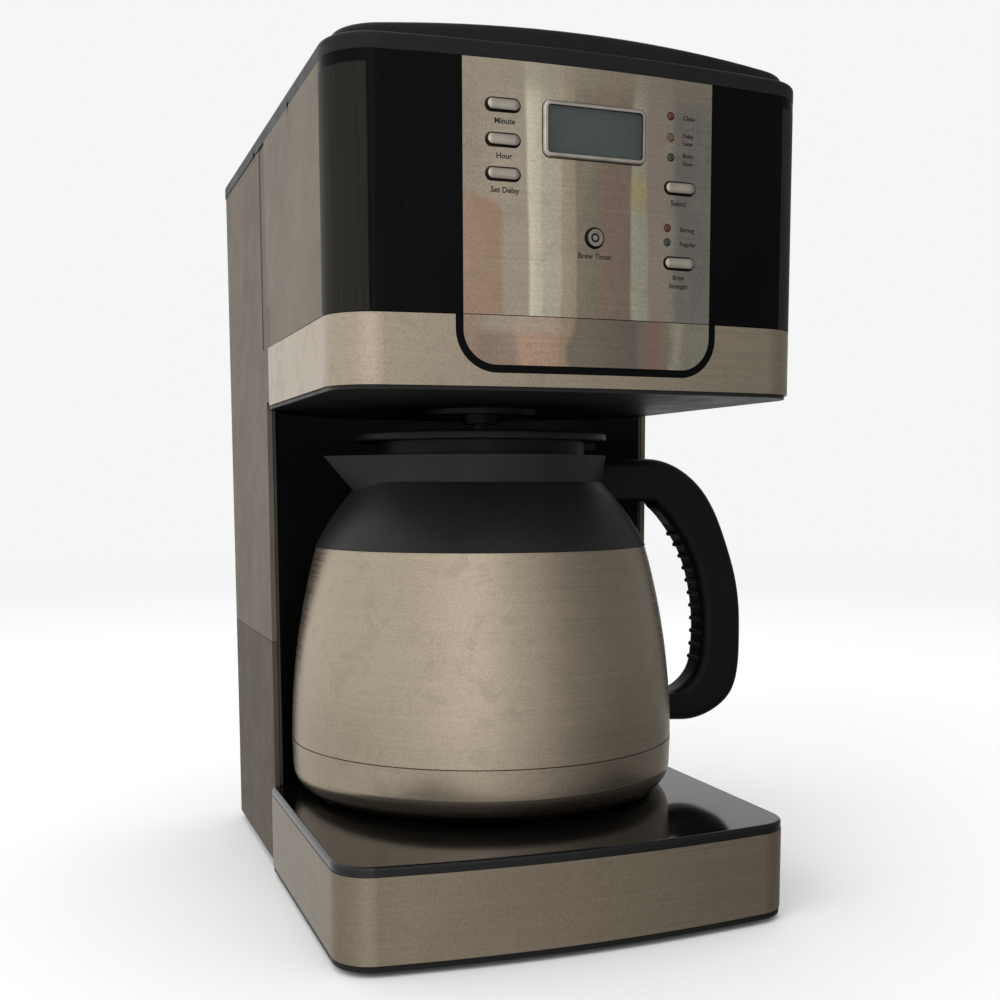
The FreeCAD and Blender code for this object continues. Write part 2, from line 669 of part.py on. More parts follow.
def lcd_bezel():
    x, z = LCD_CENTRE
    y0 = FRONT_MOST
    frame = rounded_plate(LCD_SIZE[0], LCD_SIZE[1], 3.0, y0, y0 + 4.0, x, z)
    width = LCD_SIZE[0] - 2 * LCD_FRAME
    height = LCD_SIZE[1] - 2 * LCD_FRAME
    hole = rounded_plate(width, height, 1.4, y0 - 1, y0 + 6, x, z)
    rim = [e for e in frame.Edges if e.CenterOfMass.y < y0 + 0.01]
    return frame.makeFillet(0.9, rim).cut(hole)


def lcd_window():
    x, z = LCD_CENTRE
    y0 = surface_y(LCD_SIZE[0] / 2) - 0.4
    w = LCD_SIZE[0] - 2 * LCD_FRAME - 0.2
    h = LCD_SIZE[1] - 2 * LCD_FRAME - 0.2
    return rounded_plate(w, h, 1.3, y0, y0 + 1.6, x, z)


def lcd_module():
    x, z = LCD_CENTRE
    y0 = surface_y(LCD_SIZE[0] / 2) + 3.0
    return box(x - 20.5, x + 20.5, y0, BOARD_FRONT - 0.1, z - 11.5, z + 11.5)


def control_board():
    y1 = BOARD_FRONT + BOARD_THICK
    board = box(-49, 49, BOARD_FRONT, y1, 262, 342)
    bores = [along_y(1.7, BOARD_FRONT - 1, y1 + 1, x, z) for x in (-46, 46) for z in (266, 338)]
    return board.cut(bores)


def tact_switches():
    solids = []
    for x, z in list(BUTTONS.values()) + [TIMER_BUTTON]:
        body = box(x - 3, x + 3, BOARD_FRONT - 3.0, BOARD_FRONT, z - 3, z + 3)
        tip = along_y(1.5, BOARD_FRONT - 3.5, BOARD_FRONT - 2.9, x, z)
        solids.append(body.fuse(tip).removeSplitter())
    return group(solids)


# ---------------------------------------------------------------- tower


def tower_shell(z0, z1, y_front):
    wall = tower_block(0, z0, z1).cut(tower_block(WALL, z0 - 1, z1 + 1))
    return wall.common(slab(y_front, 200))


def pillar_fronts(z0, z1):
    """The narrow faces beside the carafe, back to the hollow of the bay."""
    face = tower_block(WALL - 0.4, z0, z1).common(slab(TOWER_FRONT, TOWER_FRONT + 2.2))
    return face.cut(cylinder(BAY_RADIUS + 2.4 + GAP, z0 - 1, z1 + 1))


def tower_lower():
    top = TOWER_SEAM - SEAM
    shell = tower_shell(SKIRT_BOTTOM, top, TOWER_FRONT).fuse(pillar_fronts(PLATE_TOP + GAP, top))
    for x, y in SCREW_PLACES[4:]:
        post = tube_ring(4.0, 1.6, 5.2, 18.0, x, y)
        rib = box(x - 1.2, x + 1.2, y + 2.5, TOWER_BACK - 1.0, 5.2, 18.0)
        shell = shell.fuse([post, rib])
    inlet = along_y(7.0, TOWER_BACK - 10, TOWER_BACK + 5, *GLAND)
    line_y = TOWER_FRONT + 4.0
    lines = box(-HEAD_HALF, HEAD_HALF, line_y, line_y + GROOVE, PLATE_TOP, 88.0)
    lines = lines.cut(slab(-150, 200, half=TOWER_HALF - GROOVE_DEPTH))
    return shell.cut([inlet, lines]).removeSplitter()


def tower_upper():
    z0 = TOWER_SEAM + SEAM
    low = tower_shell(z0, HEAD_INSIDE, TOWER_FRONT)
    low = low.fuse(pillar_fronts(z0, HEAD_UNDERSIDE - GAP))
    high = tower_shell(HEAD_INSIDE, SHELL_TOP - SEAM, SIDE_SEAM + SEAM)
    step = side_step([(0, BAND_TOP + SEAM), (RECESS_BACK, BAND_TOP + SEAM), (RECESS_BACK, ABOVE), (0, ABOVE)])
    return low.fuse(high).cut(vent_notches()).cut(step).removeSplitter()


def bay_wall():
    """The hollow wall behind the carafe."""
    ring = tube_ring(BAY_RADIUS + 2.2, BAY_RADIUS, PLATE_TOP + GAP, HEAD_UNDERSIDE - GAP)
    return ring.common(slab(TOWER_FRONT + 0.2, 200)).common(tower_block(WALL + GAP, 0, ABOVE))


def tank_region(inset, z0, z1):
    """The crescent between the bay and the back of the tower, less the hose duct."""
    block = tower_block(WALL + 1.0 + inset, z0, z1)
    keep = box(-150, TANK_RIGHT - inset, TANK_FRONT + inset, 200, z0, z1)
    return block.common(keep).cut(cylinder(BAY_RADIUS + 3.4 + inset, z0 - 1, z1 + 1))


def water_tank():
    tank = tank_region(0, TANK_FLOOR, TANK_TOP).cut(tank_region(2.2, TANK_FLOOR + 2.4, TANK_TOP + 1))
    outlet = cylinder(5.0, TANK_FLOOR - 8.0, TANK_FLOOR + 0.5, *OUTLET)
    return tank.fuse(outlet).cut(cylinder(3.4, TANK_FLOOR - 9, TANK_FLOOR + 5, *OUTLET)).removeSplitter()


def cord_gland():
    x, z = GLAND
    collar = along_y(9.0, TOWER_BACK, BACK_MOST, x, z)
    neck = along_y(6.8, TOWER_BACK - WALL - 4.0, TOWER_BACK + 0.5, x, z)
    lip = along_y(8.4, TOWER_BACK - WALL - 4.0, TOWER_BACK - WALL - 0.3, x, z)
    bore = along_y(3.6, TOWER_BACK - 20, TOWER_BACK + 5, x, z)
    return collar.fuse([neck, lip]).cut(bore).removeSplitter()


# ---------------------------------------------------------------- base


def base_skirt():
    return base_wrap(0, SHEET, SKIRT_BOTTOM, SKIRT_TOP).common(slab(-150, TOWER_FRONT - GAP))


def base_shell():
    """The moulded base behind the skirt: wall, top, screw posts, and the lip below the skirt."""
    wall = base_wrap(SHEET + 0.1, WALL, 2.4, SKIRT_TOP)
    lip = base_wrap(0.4, SHEET + 1.0, 2.4, SKIRT_BOTTOM - 0.1)
    top = base_block(SHEET + 0.5, SKIRT_TOP - 2.6, SKIRT_TOP)
    posts = [tube_ring(4.0, 1.6, 5.2, SKIRT_TOP - 1, x, y) for x, y in SCREW_PLACES[:4]]
    web = box(-98, 98, -70, -68.2, 5.2, SKIRT_TOP - 1)
    return wall.fuse([lip, top, web] + posts).common(slab(-150, TOWER_FRONT - GAP)).removeSplitter()


def rest_plate():
    """The glossy plate that the carafe stands on, with a shallow ring round the carafe's foot."""
    front = base_block(0.2, SKIRT_TOP + 0.15, PLATE_TOP).common(slab(-150, TOWER_FRONT - GAP))
    rear = cylinder(BAY_RADIUS - GAP, SKIRT_TOP + 0.15, PLATE_TOP)
    plate = front.fuse(rear).removeSplitter()
    top_edges = [e for e in plate.Edges if e.CenterOfMass.z > PLATE_TOP - 0.01]
    rim = [e for e in top_edges if e.BoundBox.YMax < TOWER_FRONT - 0.2]
    plate = plate.makeFillet(1.4, rim)
    groove = tube_ring(74.6, 73.4, PLATE_TOP - 0.6, PLATE_TOP + 1)
    outline = tube_ring(84.6, 83.6, PLATE_TOP - 0.5, PLATE_TOP + 1)
    return plate.cut([groove, outline.common(slab(-150, -12))])


def bottom_cover():
    plate = base_block(3.6, 2.4, 5.0)
    feet = [cylinder(7.0, 0, 6, x, y) for x, y in FOOT_PLACES]
    screws = [cylinder(1.7, 0, 6, x, y) for x, y in SCREW_PLACES]
    slots = [box(x, x + 3, -10, 34, 0, 6) for x in range(-30, 31, 10)]
    return plate.cut(feet + screws + slots)


def rubber_feet():
    feet = []
    for x, y in FOOT_PLACES:
        pad = cylinder(9.0, 0, 2.3, x, y)
        pad = pad.makeFillet(0.8, [e for e in pad.Edges if e.CenterOfMass.z < 0.01])
        feet.append(pad.fuse(cylinder(6.9, 2.0, 6.5, x, y)).removeSplitter())
    return group(feet)


def cover_screws():
    screws = []
    for x, y in SCREW_PLACES:
        head = cylinder(3.2, 0.9, 2.4, x, y)
        screws.append(head.fuse(cylinder(1.45, 2.3, 14.0, x, y)).removeSplitter())
    return group(screws)


# ---------------------------------------------------------------- heating and water


def heater_block():
    """A horseshoe of cast aluminium with a water way and a bore for the element."""
    r = HEATER_RADIUS
    low = HEATER_Z - 6
    high = HEATER_Z + 6
    ring = revolve([(r - 14, low), (r + 10, low), (r + 10, high), (r - 14, high)], HEATER_TURN, HEATER_START)
    return ring.cut([horseshoe_bar(r - 7.5, 3.8), horseshoe_bar(r + 4.0, 3.5)])


def horseshoe_bar(radius, r, more=0.0):
    """A round bar bent along the heater's horseshoe."""
    circle = closed_face([Part.makeCircle(r, Vector(radius, 0, HEATER_Z), Vector(0, 1, 0))])
    return spin(circle, HEATER_TURN + 2 * more, HEATER_START - more)


def heating_element():
    return horseshoe_bar(HEATER_RADIUS + 4.0, 3.4, 6.0)


def thermostat():
    y = AXIS_Y - HEATER_RADIUS + 2.0
    can = cylinder(8.0, HEATER_Z - 13.0, HEATER_Z - 6.1, 0, y)
    tabs = box(-14, 14, y - 3, y + 3, HEATER_Z - 11.5, HEATER_Z - 10.7)
    return can.fuse(tabs).removeSplitter()


def heater_exit(side):
    """The first points of a hose from the water way's right (1) or left (-1) end."""
    r = HEATER_RADIUS - 7.5
    a = math.radians(55)
    start = (side * (r * math.cos(a) - 0.4), AXIS_Y + r * math.sin(a) + 0.3, HEATER_Z)
    turn = (start[0] - side * 16 * math.sin(a), start[1] + 16 * math.cos(a), HEATER_Z)
    return [start, turn, (side * 21.0, 76.0, HEATER_Z)]


def cold_hose():
    """From the left end of the heater to the check valve under the tank."""
    x, y = OUTLET
    return hose(heater_exit(-1) + [(x, y, HEATER_Z + 12.0), (x, y, TANK_FLOOR - 30.2)])


def hot_hose():
    """From the right end of the heater up the duct beside the tank to the nozzle."""
    x, y = DUCT
    level = TANK_TOP + 8.0
    route = heater_exit(1) + [(x, y, HEATER_Z + 12.0), (x, y, level), (NOZZLE[0] + 6.2, NOZZLE[1], level)]
    return hose(route)


def outlet_nozzle():
    """The elbow that hands the hot water to the channel in the lid."""
    x, y = NOZZLE
    up = cylinder(6.0, 329.0, SHELL_TOP + 2.4, x, y)
    return up.cut(cylinder(3.4, 332.0, ABOVE, x, y))


def check_valve():
    x, y = OUTLET
    body = cylinder(7.0, TANK_FLOOR - 30.0, TANK_FLOOR - 8.4, x, y)
    body = body.makeFillet(1.5, body.Edges[0:1])
    return body.cut(cylinder(3.2, TANK_FLOOR - 40, TANK_FLOOR, x, y))


def power_board():
    """The board with its relay, transformer, capacitor and terminal strip."""
    board = box(-44, 44, -118, -74, 12.0, 13.6)
    relay = box(-38, -20, -110, -92, 13.6, 29)
    transformer = box(-10, 18, -108, -82, 13.6, 34)
    capacitor = cylinder(6.5, 13.6, 32, 32, -102)
    strip = box(-40, -6, -81, -75, 13.6, 23)
    return board.fuse([relay, transformer, capacitor, strip]).removeSplitter()


# ---------------------------------------------------------------- carafe


def flank(z, offset=0.0):
    """Radius of the carafe's steel wall at height z."""
    r = CARAFE_FLANK - offset
    return CARAFE_RADIUS - offset - r + math.sqrt(r ** 2 - (z - CARAFE_WIDEST) ** 2)


def flank_arc(z0, z1, offset=0.0):
    zm = (z0 + z1) / 2
    return arc((flank(z0, offset), z0), (flank(zm, offset), zm), (flank(z1, offset), z1))


def carafe_shell():
    """The outer steel wall."""
    z0, z1 = STEEL_BOTTOM, STEEL_TOP
    outer = flank_arc(z0, z1)
    inner = flank_arc(z1, z0, SHEET)
    edges = [outer, line((flank(z1), z1), (flank(z1, SHEET), z1)), inner,
             line((flank(z0, SHEET), z0), (flank(z0), z0))]
    return spin(closed_face(edges))


def carafe_liner():
    """The inner steel flask: rounded foot, curved wall and a neck up to the mouth."""
    a = LINER_GAP
    b = LINER_GAP + SHEET
    floor = CARAFE_FOOT + 8.0
    shoulder = STEEL_TOP - 2.0
    neck = MOUTH_RADIUS + 2.2
    lip = COLLAR_RIDGE + 4.0

    def side(offset, lift):
        r0 = flank(floor + 20, offset)
        return [
            line((0, floor + lift), (r0 - 20 + lift, floor + lift)),
            arc((r0 - 20 + lift, floor + lift), (r0 - 5.8, floor + 5.8 + lift * 0.4), (r0, floor + 20)),
            flank_arc(floor + 20, shoulder, offset),
            line((flank(shoulder, offset), shoulder), (neck + SHEET - lift, lip - 12)),
            line((neck + SHEET - lift, lip - 12), (neck + SHEET - lift, lip)),
        ]

    outer = side(a, 0.0)
    inner = side(b, SHEET)
    edges = outer + inner + [line((0, floor), (0, floor + SHEET)), line((neck + SHEET, lip), (neck, lip))]
    return spin(Part.Face(Part.Wire(Part.__sortEdges__(edges))))


def carafe_base_cup():
    """The steel cup that closes the foot of the carafe."""
    t = 1.2
    z0, z1 = CARAFE_FOOT, CUP_TOP
    r1 = CARAFE_RADIUS + 0.1
    side = r1 - 0.5
    bend_z = z0 + 11.5
    foot_r = r1 - 12
    floor_z = z0 + 1.5
    edges = [line((0, floor_z), (72, floor_z)),
             line((72, floor_z), (74, z0)),
             line((74, z0), (foot_r, z0)),
             arc((foot_r, z0), (r1 - 3.6, z0 + 3.9), (side, bend_z)),
             line((side, bend_z), (r1, z1)),
             line((r1, z1), (r1 - t, z1)),
             line((r1 - t, z1), (side - t, bend_z)),
             arc((side - t, bend_z), (r1 - 3.6 - t, z0 + 3.9 + t), (foot_r, floor_z + t)),
             line((foot_r, floor_z + t), (0, floor_z + t)),
             line((0, floor_z + t), (0, floor_z))]
    return spin(closed_face(edges))


def teardrop(radius, tip, tip_round, z):
    """A circle drawn out to a point towards -X, as a wire at height z about the carafe axis."""
    grip = math.acos((radius - tip_round) / (tip - tip_round))
    c, s = math.cos(grip), math.sin(grip)
    big = [Vector(-radius * c, radius * s, z), Vector(radius, 0, z), Vector(-radius * c, -radius * s, z)]
    hub = tip - tip_round
    small = [Vector(-hub - tip_round * c, -tip_round * s, z), Vector(-tip, 0, z),
             Vector(-hub - tip_round * c, tip_round * s, z)]
    wire = Part.Wire([Part.Arc(*big).toShape(), Part.makeLine(big[2], small[0]), Part.Arc(*small).toShape(),
                      Part.makeLine(small[2], big[0])])
    wire.translate(Vector(0, AXIS_Y, 0))
    return wire


def collar_outer():
    low = STEEL_TOP + 0.2
    dome = [line((0, low), (flank(STEEL_TOP) + 0.3, low)),
            arc((flank(STEEL_TOP) + 0.3, low), (70.4, 178.0), (COLLAR_RIDGE_RADIUS, COLLAR_RIDGE)),
            line((COLLAR_RIDGE_RADIUS, COLLAR_RIDGE), (COLLAR_RIDGE_RADIUS, COLLAR_TOP)),
            line((COLLAR_RIDGE_RADIUS, COLLAR_TOP), (0, COLLAR_TOP)), line((0, COLLAR_TOP), (0, low))]
    body = spin(closed_face(dome))
    ring = Part.makeLoft([teardrop(COLLAR_RIDGE_RADIUS + 0.2, 62.5, 2.0, 187.0),
                          teardrop(COLLAR_TOP_RADIUS, SPOUT_REACH, 2.0, COLLAR_TOP)], True, True)
    return body.fuse(ring).removeSplitter()


def carafe_collar():
    """The black dome over the steel, with the pouring lip and the mouth for the lid."""
    low = STEEL_TOP
    seat_r = MOUTH_RADIUS + 3.6
    seat_z = COLLAR_RIDGE + 4.4
    hollow = revolve([(0, low), (flank(STEEL_TOP) - 2.6, low),
                      (COLLAR_RIDGE_RADIUS - 3.4, COLLAR_RIDGE - 4.0),
                      (seat_r, COLLAR_RIDGE), (seat_r, seat_z), (MOUTH_RADIUS, seat_z),
                      (MOUTH_RADIUS, COLLAR_TOP + 1), (0, COLLAR_TOP + 1)])
    pour = Part.makeLoft([teardrop(MOUTH_RADIUS - 1, 50, 2.0, 196.0),
                          teardrop(MOUTH_RADIUS - 1, SPOUT_REACH - 4.0, 2.0, COLLAR_TOP + 0.5)], True, True)
    return collar_outer().cut([hollow, pour]).removeSplitter()


def curve(points):
    """A smooth curve in the XZ plane through some points."""
    spline = Part.BSplineCurve()
    spline.interpolate([Vector(x, 0, z) for x, z in points])
    return spline.toShape()


def handle_blank():
    """The handle's side view, extruded to its thickness and rounded along its long edges."""
    back = HANDLE_BACK
    palm = HANDLE_PALM
    root = 52.0
    foot = CARAFE_RADIUS + 0.6
    heel = (foot, back[-1][1] + 1.0)
    wrist = (foot, palm[0][1] + 0.5)
    outline = [line((root, back[0][1]), back[0]), curve(back), line(back[-1], heel), line(heel, wrist),
               line(wrist, palm[0]), curve(palm), line(palm[-1], (root, palm[-1][1])),
               line((root, palm[-1][1]), (root, back[0][1]))]
    face = closed_face(outline)
    face.translate(Vector(0, AXIS_Y - HANDLE_HALF, 0))
    blank = face.extrude(Vector(0, 2 * HANDLE_HALF, 0))
    long_edges = [e for e in blank.Edges if e.BoundBox.YLength < 0.01 and e.Length > 60.0]
    return blank.makeFillet(HANDLE_ROUND, long_edges)


def palm_stations(count):
    """Evenly spaced points along the fingers' side of the handle, where the soft grip lies."""
    points = curve(HANDLE_PALM).discretize(Number=count)
    return [p for p in points if GRIP_LOW < p.z < GRIP_HIGH]


def grip_cut():
    """The strip of the handle's inner face that the soft grip fills."""
    points = palm_stations(40)
    deep = []
    for before, here, after in zip(points, points[1:], points[2:]):
        way = (after - before).normalize()
        deep.append((here.x + way.z * GRIP_DEEP, here.z - way.x * GRIP_DEEP))
    low = (points[1].x - 6.0, points[1].z)
    high = (points[-2].x - 6.0, points[-2].z)
    face = closed_face([curve(deep), line(deep[-1], high), line(high, low), line(low, deep[0])])
    face.translate(Vector(0, AXIS_Y - GRIP_HALF, 0))
    return face.extrude(Vector(0, 2 * GRIP_HALF, 0))


def carafe_handle():
    handle = handle_blank().cut(collar_outer()).cut(cylinder(CARAFE_RADIUS + 0.3, 60, 182))
    parts = handle.cut(grip_cut()).Solids
    return max(parts, key=lambda s: s.Volume)


def handle_grip():
    """The ribbed insert for the fingers."""
    core = handle_blank().common(grip_cut())
    reach = GRIP_HALF - 0.4
    ribs = [along_y(RIB_RADIUS, AXIS_Y - reach, AXIS_Y + reach, p.x, p.z) for p in palm_stations(19)[:-1]]
    return core.fuse(ribs).removeSplitter()


def carafe_cap():
    """The lid's flange and neck, with a thumb tab and a brewing hole in the middle."""
    disc = cylinder(CAP_RADIUS, CAP_BOTTOM, CAP_TOP)
    disc = disc.makeFillet(1.3, [e for e in disc.Edges if abs(e.BoundBox.ZLength) < 0.01])
    neck = tube_ring(CAP_NECK, CAP_NECK - 3.0, COLLAR_TOP + 0.5, CAP_BOTTOM + 0.5)
    tab = box(48, 57, AXIS_Y - 9, AXIS_Y + 9, CAP_BOTTOM - 3.4, CAP_BOTTOM + 0.5)
    return disc.fuse([neck, tab]).cut(cylinder(BREW_HOLE, 190, 230)).removeSplitter()


def carafe_plug():
    """The threaded plug under the cap, which closes the mouth."""
    wall = tube_ring(MOUTH_RADIUS - 1.0, MOUTH_RADIUS - 3.4, COLLAR_RIDGE - 8.0, CAP_BOTTOM - 0.1)
    floor = cylinder(MOUTH_RADIUS - 2.0, COLLAR_RIDGE - 8.0, COLLAR_RIDGE - 6.0)
    floor = floor.cut(cylinder(BREW_HOLE, 100, 230))
    seat = tube_ring(MOUTH_RADIUS + 2.4, MOUTH_RADIUS - 2.4, COLLAR_RIDGE - 6.0, COLLAR_RIDGE - 3.4)
    return wall.fuse([floor]).cut(seat).removeSplitter()


def plug_gasket():
    r = MOUTH_RADIUS
    return tube_ring(r + 0.6, r - 2.4, COLLAR_RIDGE - 6.0, COLLAR_RIDGE - 3.4)


# ---------------------------------------------------------------- the part

PIECES = {
    "front_fascia": front_fascia,
    "control_panel": control_panel,
    "lower_panel": lower_panel,
    "trim_band": trim_band,
    "left_side_panel": lambda: side_panel(-1),
    "right_side_panel": lambda: side_panel(1),
    "head_frame": head_frame,
    "head_floor": head_floor,
    "top_deck": top_deck,
    "hinge_pins": hinge_pins,
    "lid_cover": lid_cover,
    "lid_liner": lid_liner,
    "shower_head": shower_head,
    "basket_well": basket_well,
    "brew_basket": brew_basket,
    "drip_valve": drip_valve,
    "valve_cage": valve_cage,
    "valve_spring": valve_spring,
    "timer_button": timer_button,
    "lcd_bezel": lcd_bezel,
    "lcd_window": lcd_window,
    "lcd_module": lcd_module,
    "control_board": control_board,
    "tact_switches": tact_switches,
    "tower_lower": tower_lower,
    "tower_upper": tower_upper,
    "bay_wall": bay_wall,
    "water_tank": water_tank,
    "cord_gland": cord_gland,
    "base_skirt": base_skirt,
    "base_shell": base_shell,
    "rest_plate": rest_plate,
    "bottom_cover": bottom_cover,
    "rubber_feet": rubber_feet,
    "cover_screws": cover_screws,
    "heater_block": heater_block,
    "heating_element": heating_element,
    "thermostat": thermostat,
    "cold_hose": cold_hose,
    "hot_hose": hot_hose,
    "outlet_nozzle": outlet_nozzle,
    "check_valve": check_valve,
    "power_board": power_board,
    "carafe_shell": carafe_shell,
    "carafe_liner": carafe_liner,
    "carafe_base_cup": carafe_base_cup,
    "carafe_collar": carafe_collar,
    "carafe_handle": carafe_handle,
    "handle_grip": handle_grip,
    "carafe_cap": carafe_cap,
    "carafe_plug": carafe_plug,
    "plug_gasket": plug_gasket,
}
for button, (button_x, button_z) in BUTTONS.items():
    PIECES[button] = lambda x=button_x, z=button_z: pill_button(x, z)
for colour, led_places in LEDS.items():
    PIECES[colour] = lambda places=led_places: leds(places)


def main():
    os.makedirs("parts", exist_ok=True)
    for name, make in PIECES.items():
        shape = make()
        shape.translate(ORIGIN_SHIFT)
        shape.exportStep(f"parts/{name}.step")
        solids = len(shape.Solids)
        print(f"{name:20s} solids {solids:2d} valid {shape.isValid()} volume {shape.Volume:10.1f}")


main()
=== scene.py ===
import json
import math

import bmesh
import bpy
from mathutils import Matrix, Vector


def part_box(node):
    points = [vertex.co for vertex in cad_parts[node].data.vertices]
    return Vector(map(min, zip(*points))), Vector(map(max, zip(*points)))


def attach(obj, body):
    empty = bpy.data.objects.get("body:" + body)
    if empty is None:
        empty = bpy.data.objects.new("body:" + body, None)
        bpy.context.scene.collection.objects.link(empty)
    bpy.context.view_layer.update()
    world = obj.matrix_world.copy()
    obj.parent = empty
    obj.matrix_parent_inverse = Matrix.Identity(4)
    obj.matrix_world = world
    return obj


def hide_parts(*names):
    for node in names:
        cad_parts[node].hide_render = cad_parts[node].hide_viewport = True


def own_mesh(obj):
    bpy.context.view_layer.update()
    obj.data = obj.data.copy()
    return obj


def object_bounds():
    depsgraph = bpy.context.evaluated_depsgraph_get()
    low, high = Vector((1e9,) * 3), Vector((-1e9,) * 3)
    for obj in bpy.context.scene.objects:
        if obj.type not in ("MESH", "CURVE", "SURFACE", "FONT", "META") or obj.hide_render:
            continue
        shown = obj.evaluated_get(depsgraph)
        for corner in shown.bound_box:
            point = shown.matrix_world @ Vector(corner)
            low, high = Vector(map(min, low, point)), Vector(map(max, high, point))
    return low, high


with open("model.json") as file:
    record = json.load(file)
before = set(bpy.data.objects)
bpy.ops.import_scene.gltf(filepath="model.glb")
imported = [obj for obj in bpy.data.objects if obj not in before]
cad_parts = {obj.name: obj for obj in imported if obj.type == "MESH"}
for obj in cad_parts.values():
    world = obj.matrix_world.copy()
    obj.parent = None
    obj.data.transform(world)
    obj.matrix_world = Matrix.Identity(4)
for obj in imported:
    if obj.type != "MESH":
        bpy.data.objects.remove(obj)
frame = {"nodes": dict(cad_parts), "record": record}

CAD_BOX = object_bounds()
NODES = frame["nodes"]
MM = 0.001

# Sizes and places below are in millimetres from the machine's middle line. The band under the head is centred
# on that line, and the carafe's shell on its own axis, so the two give the line's place in the part's frame.
# Colours are scene-linear red, green and blue.
BAND_LOW, BAND_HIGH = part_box("trim_band")
SHELL_LOW, SHELL_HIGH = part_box("carafe_shell")
CARAFE_AXIS_Y = 2.0
ORIGIN = Vector((
    (BAND_LOW[0] + BAND_HIGH[0]) / 2,
    (SHELL_LOW[1] + SHELL_HIGH[1]) / 2 - CARAFE_AXIS_Y * MM,
    0.0,
))


def machine(x, y, z):
    """A point given in millimetres from the middle of the machine."""
    return Vector((x * MM, y * MM, z * MM)) + ORIGIN


# ---------------------------------------------------------------- node trees


class Paint:
    """One procedural material, built a node at a time in the part's own coordinates."""

    def __init__(self, name, **sockets):
        self.material = bpy.data.materials.new(name)
        self.material.use_nodes = True
        self.tree = self.material.node_tree
        self.shader = self.tree.nodes["Principled BSDF"]
        self.place = self.node("ShaderNodeTexCoord").outputs["Object"]
        for socket, value in sockets.items():
            self.set(socket.replace("_", " "), value)

    def node(self, kind, **fields):
        """A new node with some of its fields set."""
        made = self.tree.nodes.new(kind)
        for field, value in fields.items():
            setattr(made, field, value)
        return made

    def feed(self, socket, source):
        """Links a socket to a source socket, or sets it to a plain value."""
        if isinstance(source, bpy.types.NodeSocket):
            self.tree.links.new(source, socket)
        else:
            socket.default_value = source

    def set(self, socket, source):
        """Feeds one of the shader's own sockets."""
        if isinstance(source, tuple) and len(source) == 3 and "Color" in socket:
            source = (*source, 1.0)
        self.feed(self.shader.inputs[socket], source)

    def stretched(self, scale):
        """The part's coordinates, scaled per axis: (per metre in x, in y, in z)."""
        mapping = self.node("ShaderNodeMapping")
        mapping.inputs["Scale"].default_value = scale
        self.feed(mapping.inputs["Vector"], self.place)
        return mapping.outputs["Vector"]

    def noise(self, scale, detail=3.0, rough=0.5, distortion=0.0, seed=0.0):
        """Noise with a feature about 1/scale metres across, or with one scale per axis."""
        made = self.node("ShaderNodeTexNoise", noise_dimensions="4D")
        per_axis = scale if isinstance(scale, tuple) else (scale, scale, scale)
        self.feed(made.inputs["Vector"], self.stretched(per_axis))
        made.inputs["W"].default_value = seed
        made.inputs["Scale"].default_value = 1.0
        made.inputs["Detail"].default_value = detail
        made.inputs["Roughness"].default_value = rough
        made.inputs["Distortion"].default_value = distortion
        return made.outputs["Fac"]

    def cells(self, scale, seed=0.0):
        """Distance to the nearest of a field of scattered points, in cells."""
        made = self.node("ShaderNodeTexVoronoi", voronoi_dimensions="4D")
        self.feed(made.inputs["Vector"], self.stretched((scale, scale, scale)))
        made.inputs["W"].default_value = seed
        made.inputs["Scale"].default_value = 1.0
        return made.outputs["Distance"]

    def ramp(self, fac, *stops, smooth=False):
        """A colour ramp: stops are (position, colour or grey)."""
        made = self.node("ShaderNodeValToRGB")
        made.color_ramp.interpolation = "EASE" if smooth else "LINEAR"
        points = made.color_ramp.elements
        while len(points) < len(stops):
            points.new(0.5)
        for point, (position, value) in zip(points, stops):
            point.position = position
            grey = isinstance(value, (int, float))
            point.color = (value, value, value, 1.0) if grey else (*value, 1.0)
        self.feed(made.inputs["Fac"], fac)
        return made.outputs["Color"]

    def spread(self, fac, low, high, start=0.3, end=0.7):
        """fac from start to end, mapped to low to high and clamped."""
        made = self.node("ShaderNodeMapRange")
        for socket, value in (("From Min", start), ("From Max", end), ("To Min", low), ("To Max", high)):
            self.feed(made.inputs[socket], value)
        self.feed(made.inputs["Value"], fac)
        return made.outputs["Result"]

    def calc(self, operation, a, b=0.0):
        """One step of arithmetic."""
        made = self.node("ShaderNodeMath", operation=operation)
        self.feed(made.inputs[0], a)
        self.feed(made.inputs[1], b)
        return made.outputs["Value"]

    def mix(self, fac, a, b, blend="MIX"):
        """Colour a, going over to colour b as fac goes to 1."""
        made = self.node("ShaderNodeMix", data_type="RGBA", blend_type=blend)
        self.feed(made.inputs["Factor"], fac)
        for socket, colour in ((made.inputs[6], a), (made.inputs[7], b)):
            self.feed(socket, (*colour, 1.0) if isinstance(colour, tuple) else colour)
        return made.outputs[2]

    def grey(self, value):
        """A number as a grey colour."""
        made = self.node("ShaderNodeCombineColor")
        for channel in ("Red", "Green", "Blue"):
            self.feed(made.inputs[channel], value)
        return made.outputs["Color"]

    def axis(self, name):
        """One of the machine's coordinates, in millimetres."""
        made = self.node("ShaderNodeSeparateXYZ")
        self.feed(made.inputs["Vector"], self.place)
        moved = self.calc("SUBTRACT", made.outputs[name], ORIGIN["XYZ".index(name)])
        return self.calc("MULTIPLY", moved, 1.0 / MM)

    def between(self, value, low, high, soft):
        """1 where the value lies from low to high, falling to 0 over a soft edge."""
        rise = self.spread(value, 0.0, 1.0, low - soft, low + soft)
        fall = self.spread(value, 1.0, 0.0, high - soft, high + soft)
        return self.calc("MULTIPLY", rise, fall)

    def bands(self, value, first, last, *stops):
        """A smooth colour ramp over a stretch of some coordinate, its stops in millimetres."""
        scaled = self.spread(value, 0.0, 1.0, first, last)
        shares = [((at - first) / (last - first), colour) for at, colour in stops]
        return self.ramp(scaled, *shares, smooth=True)

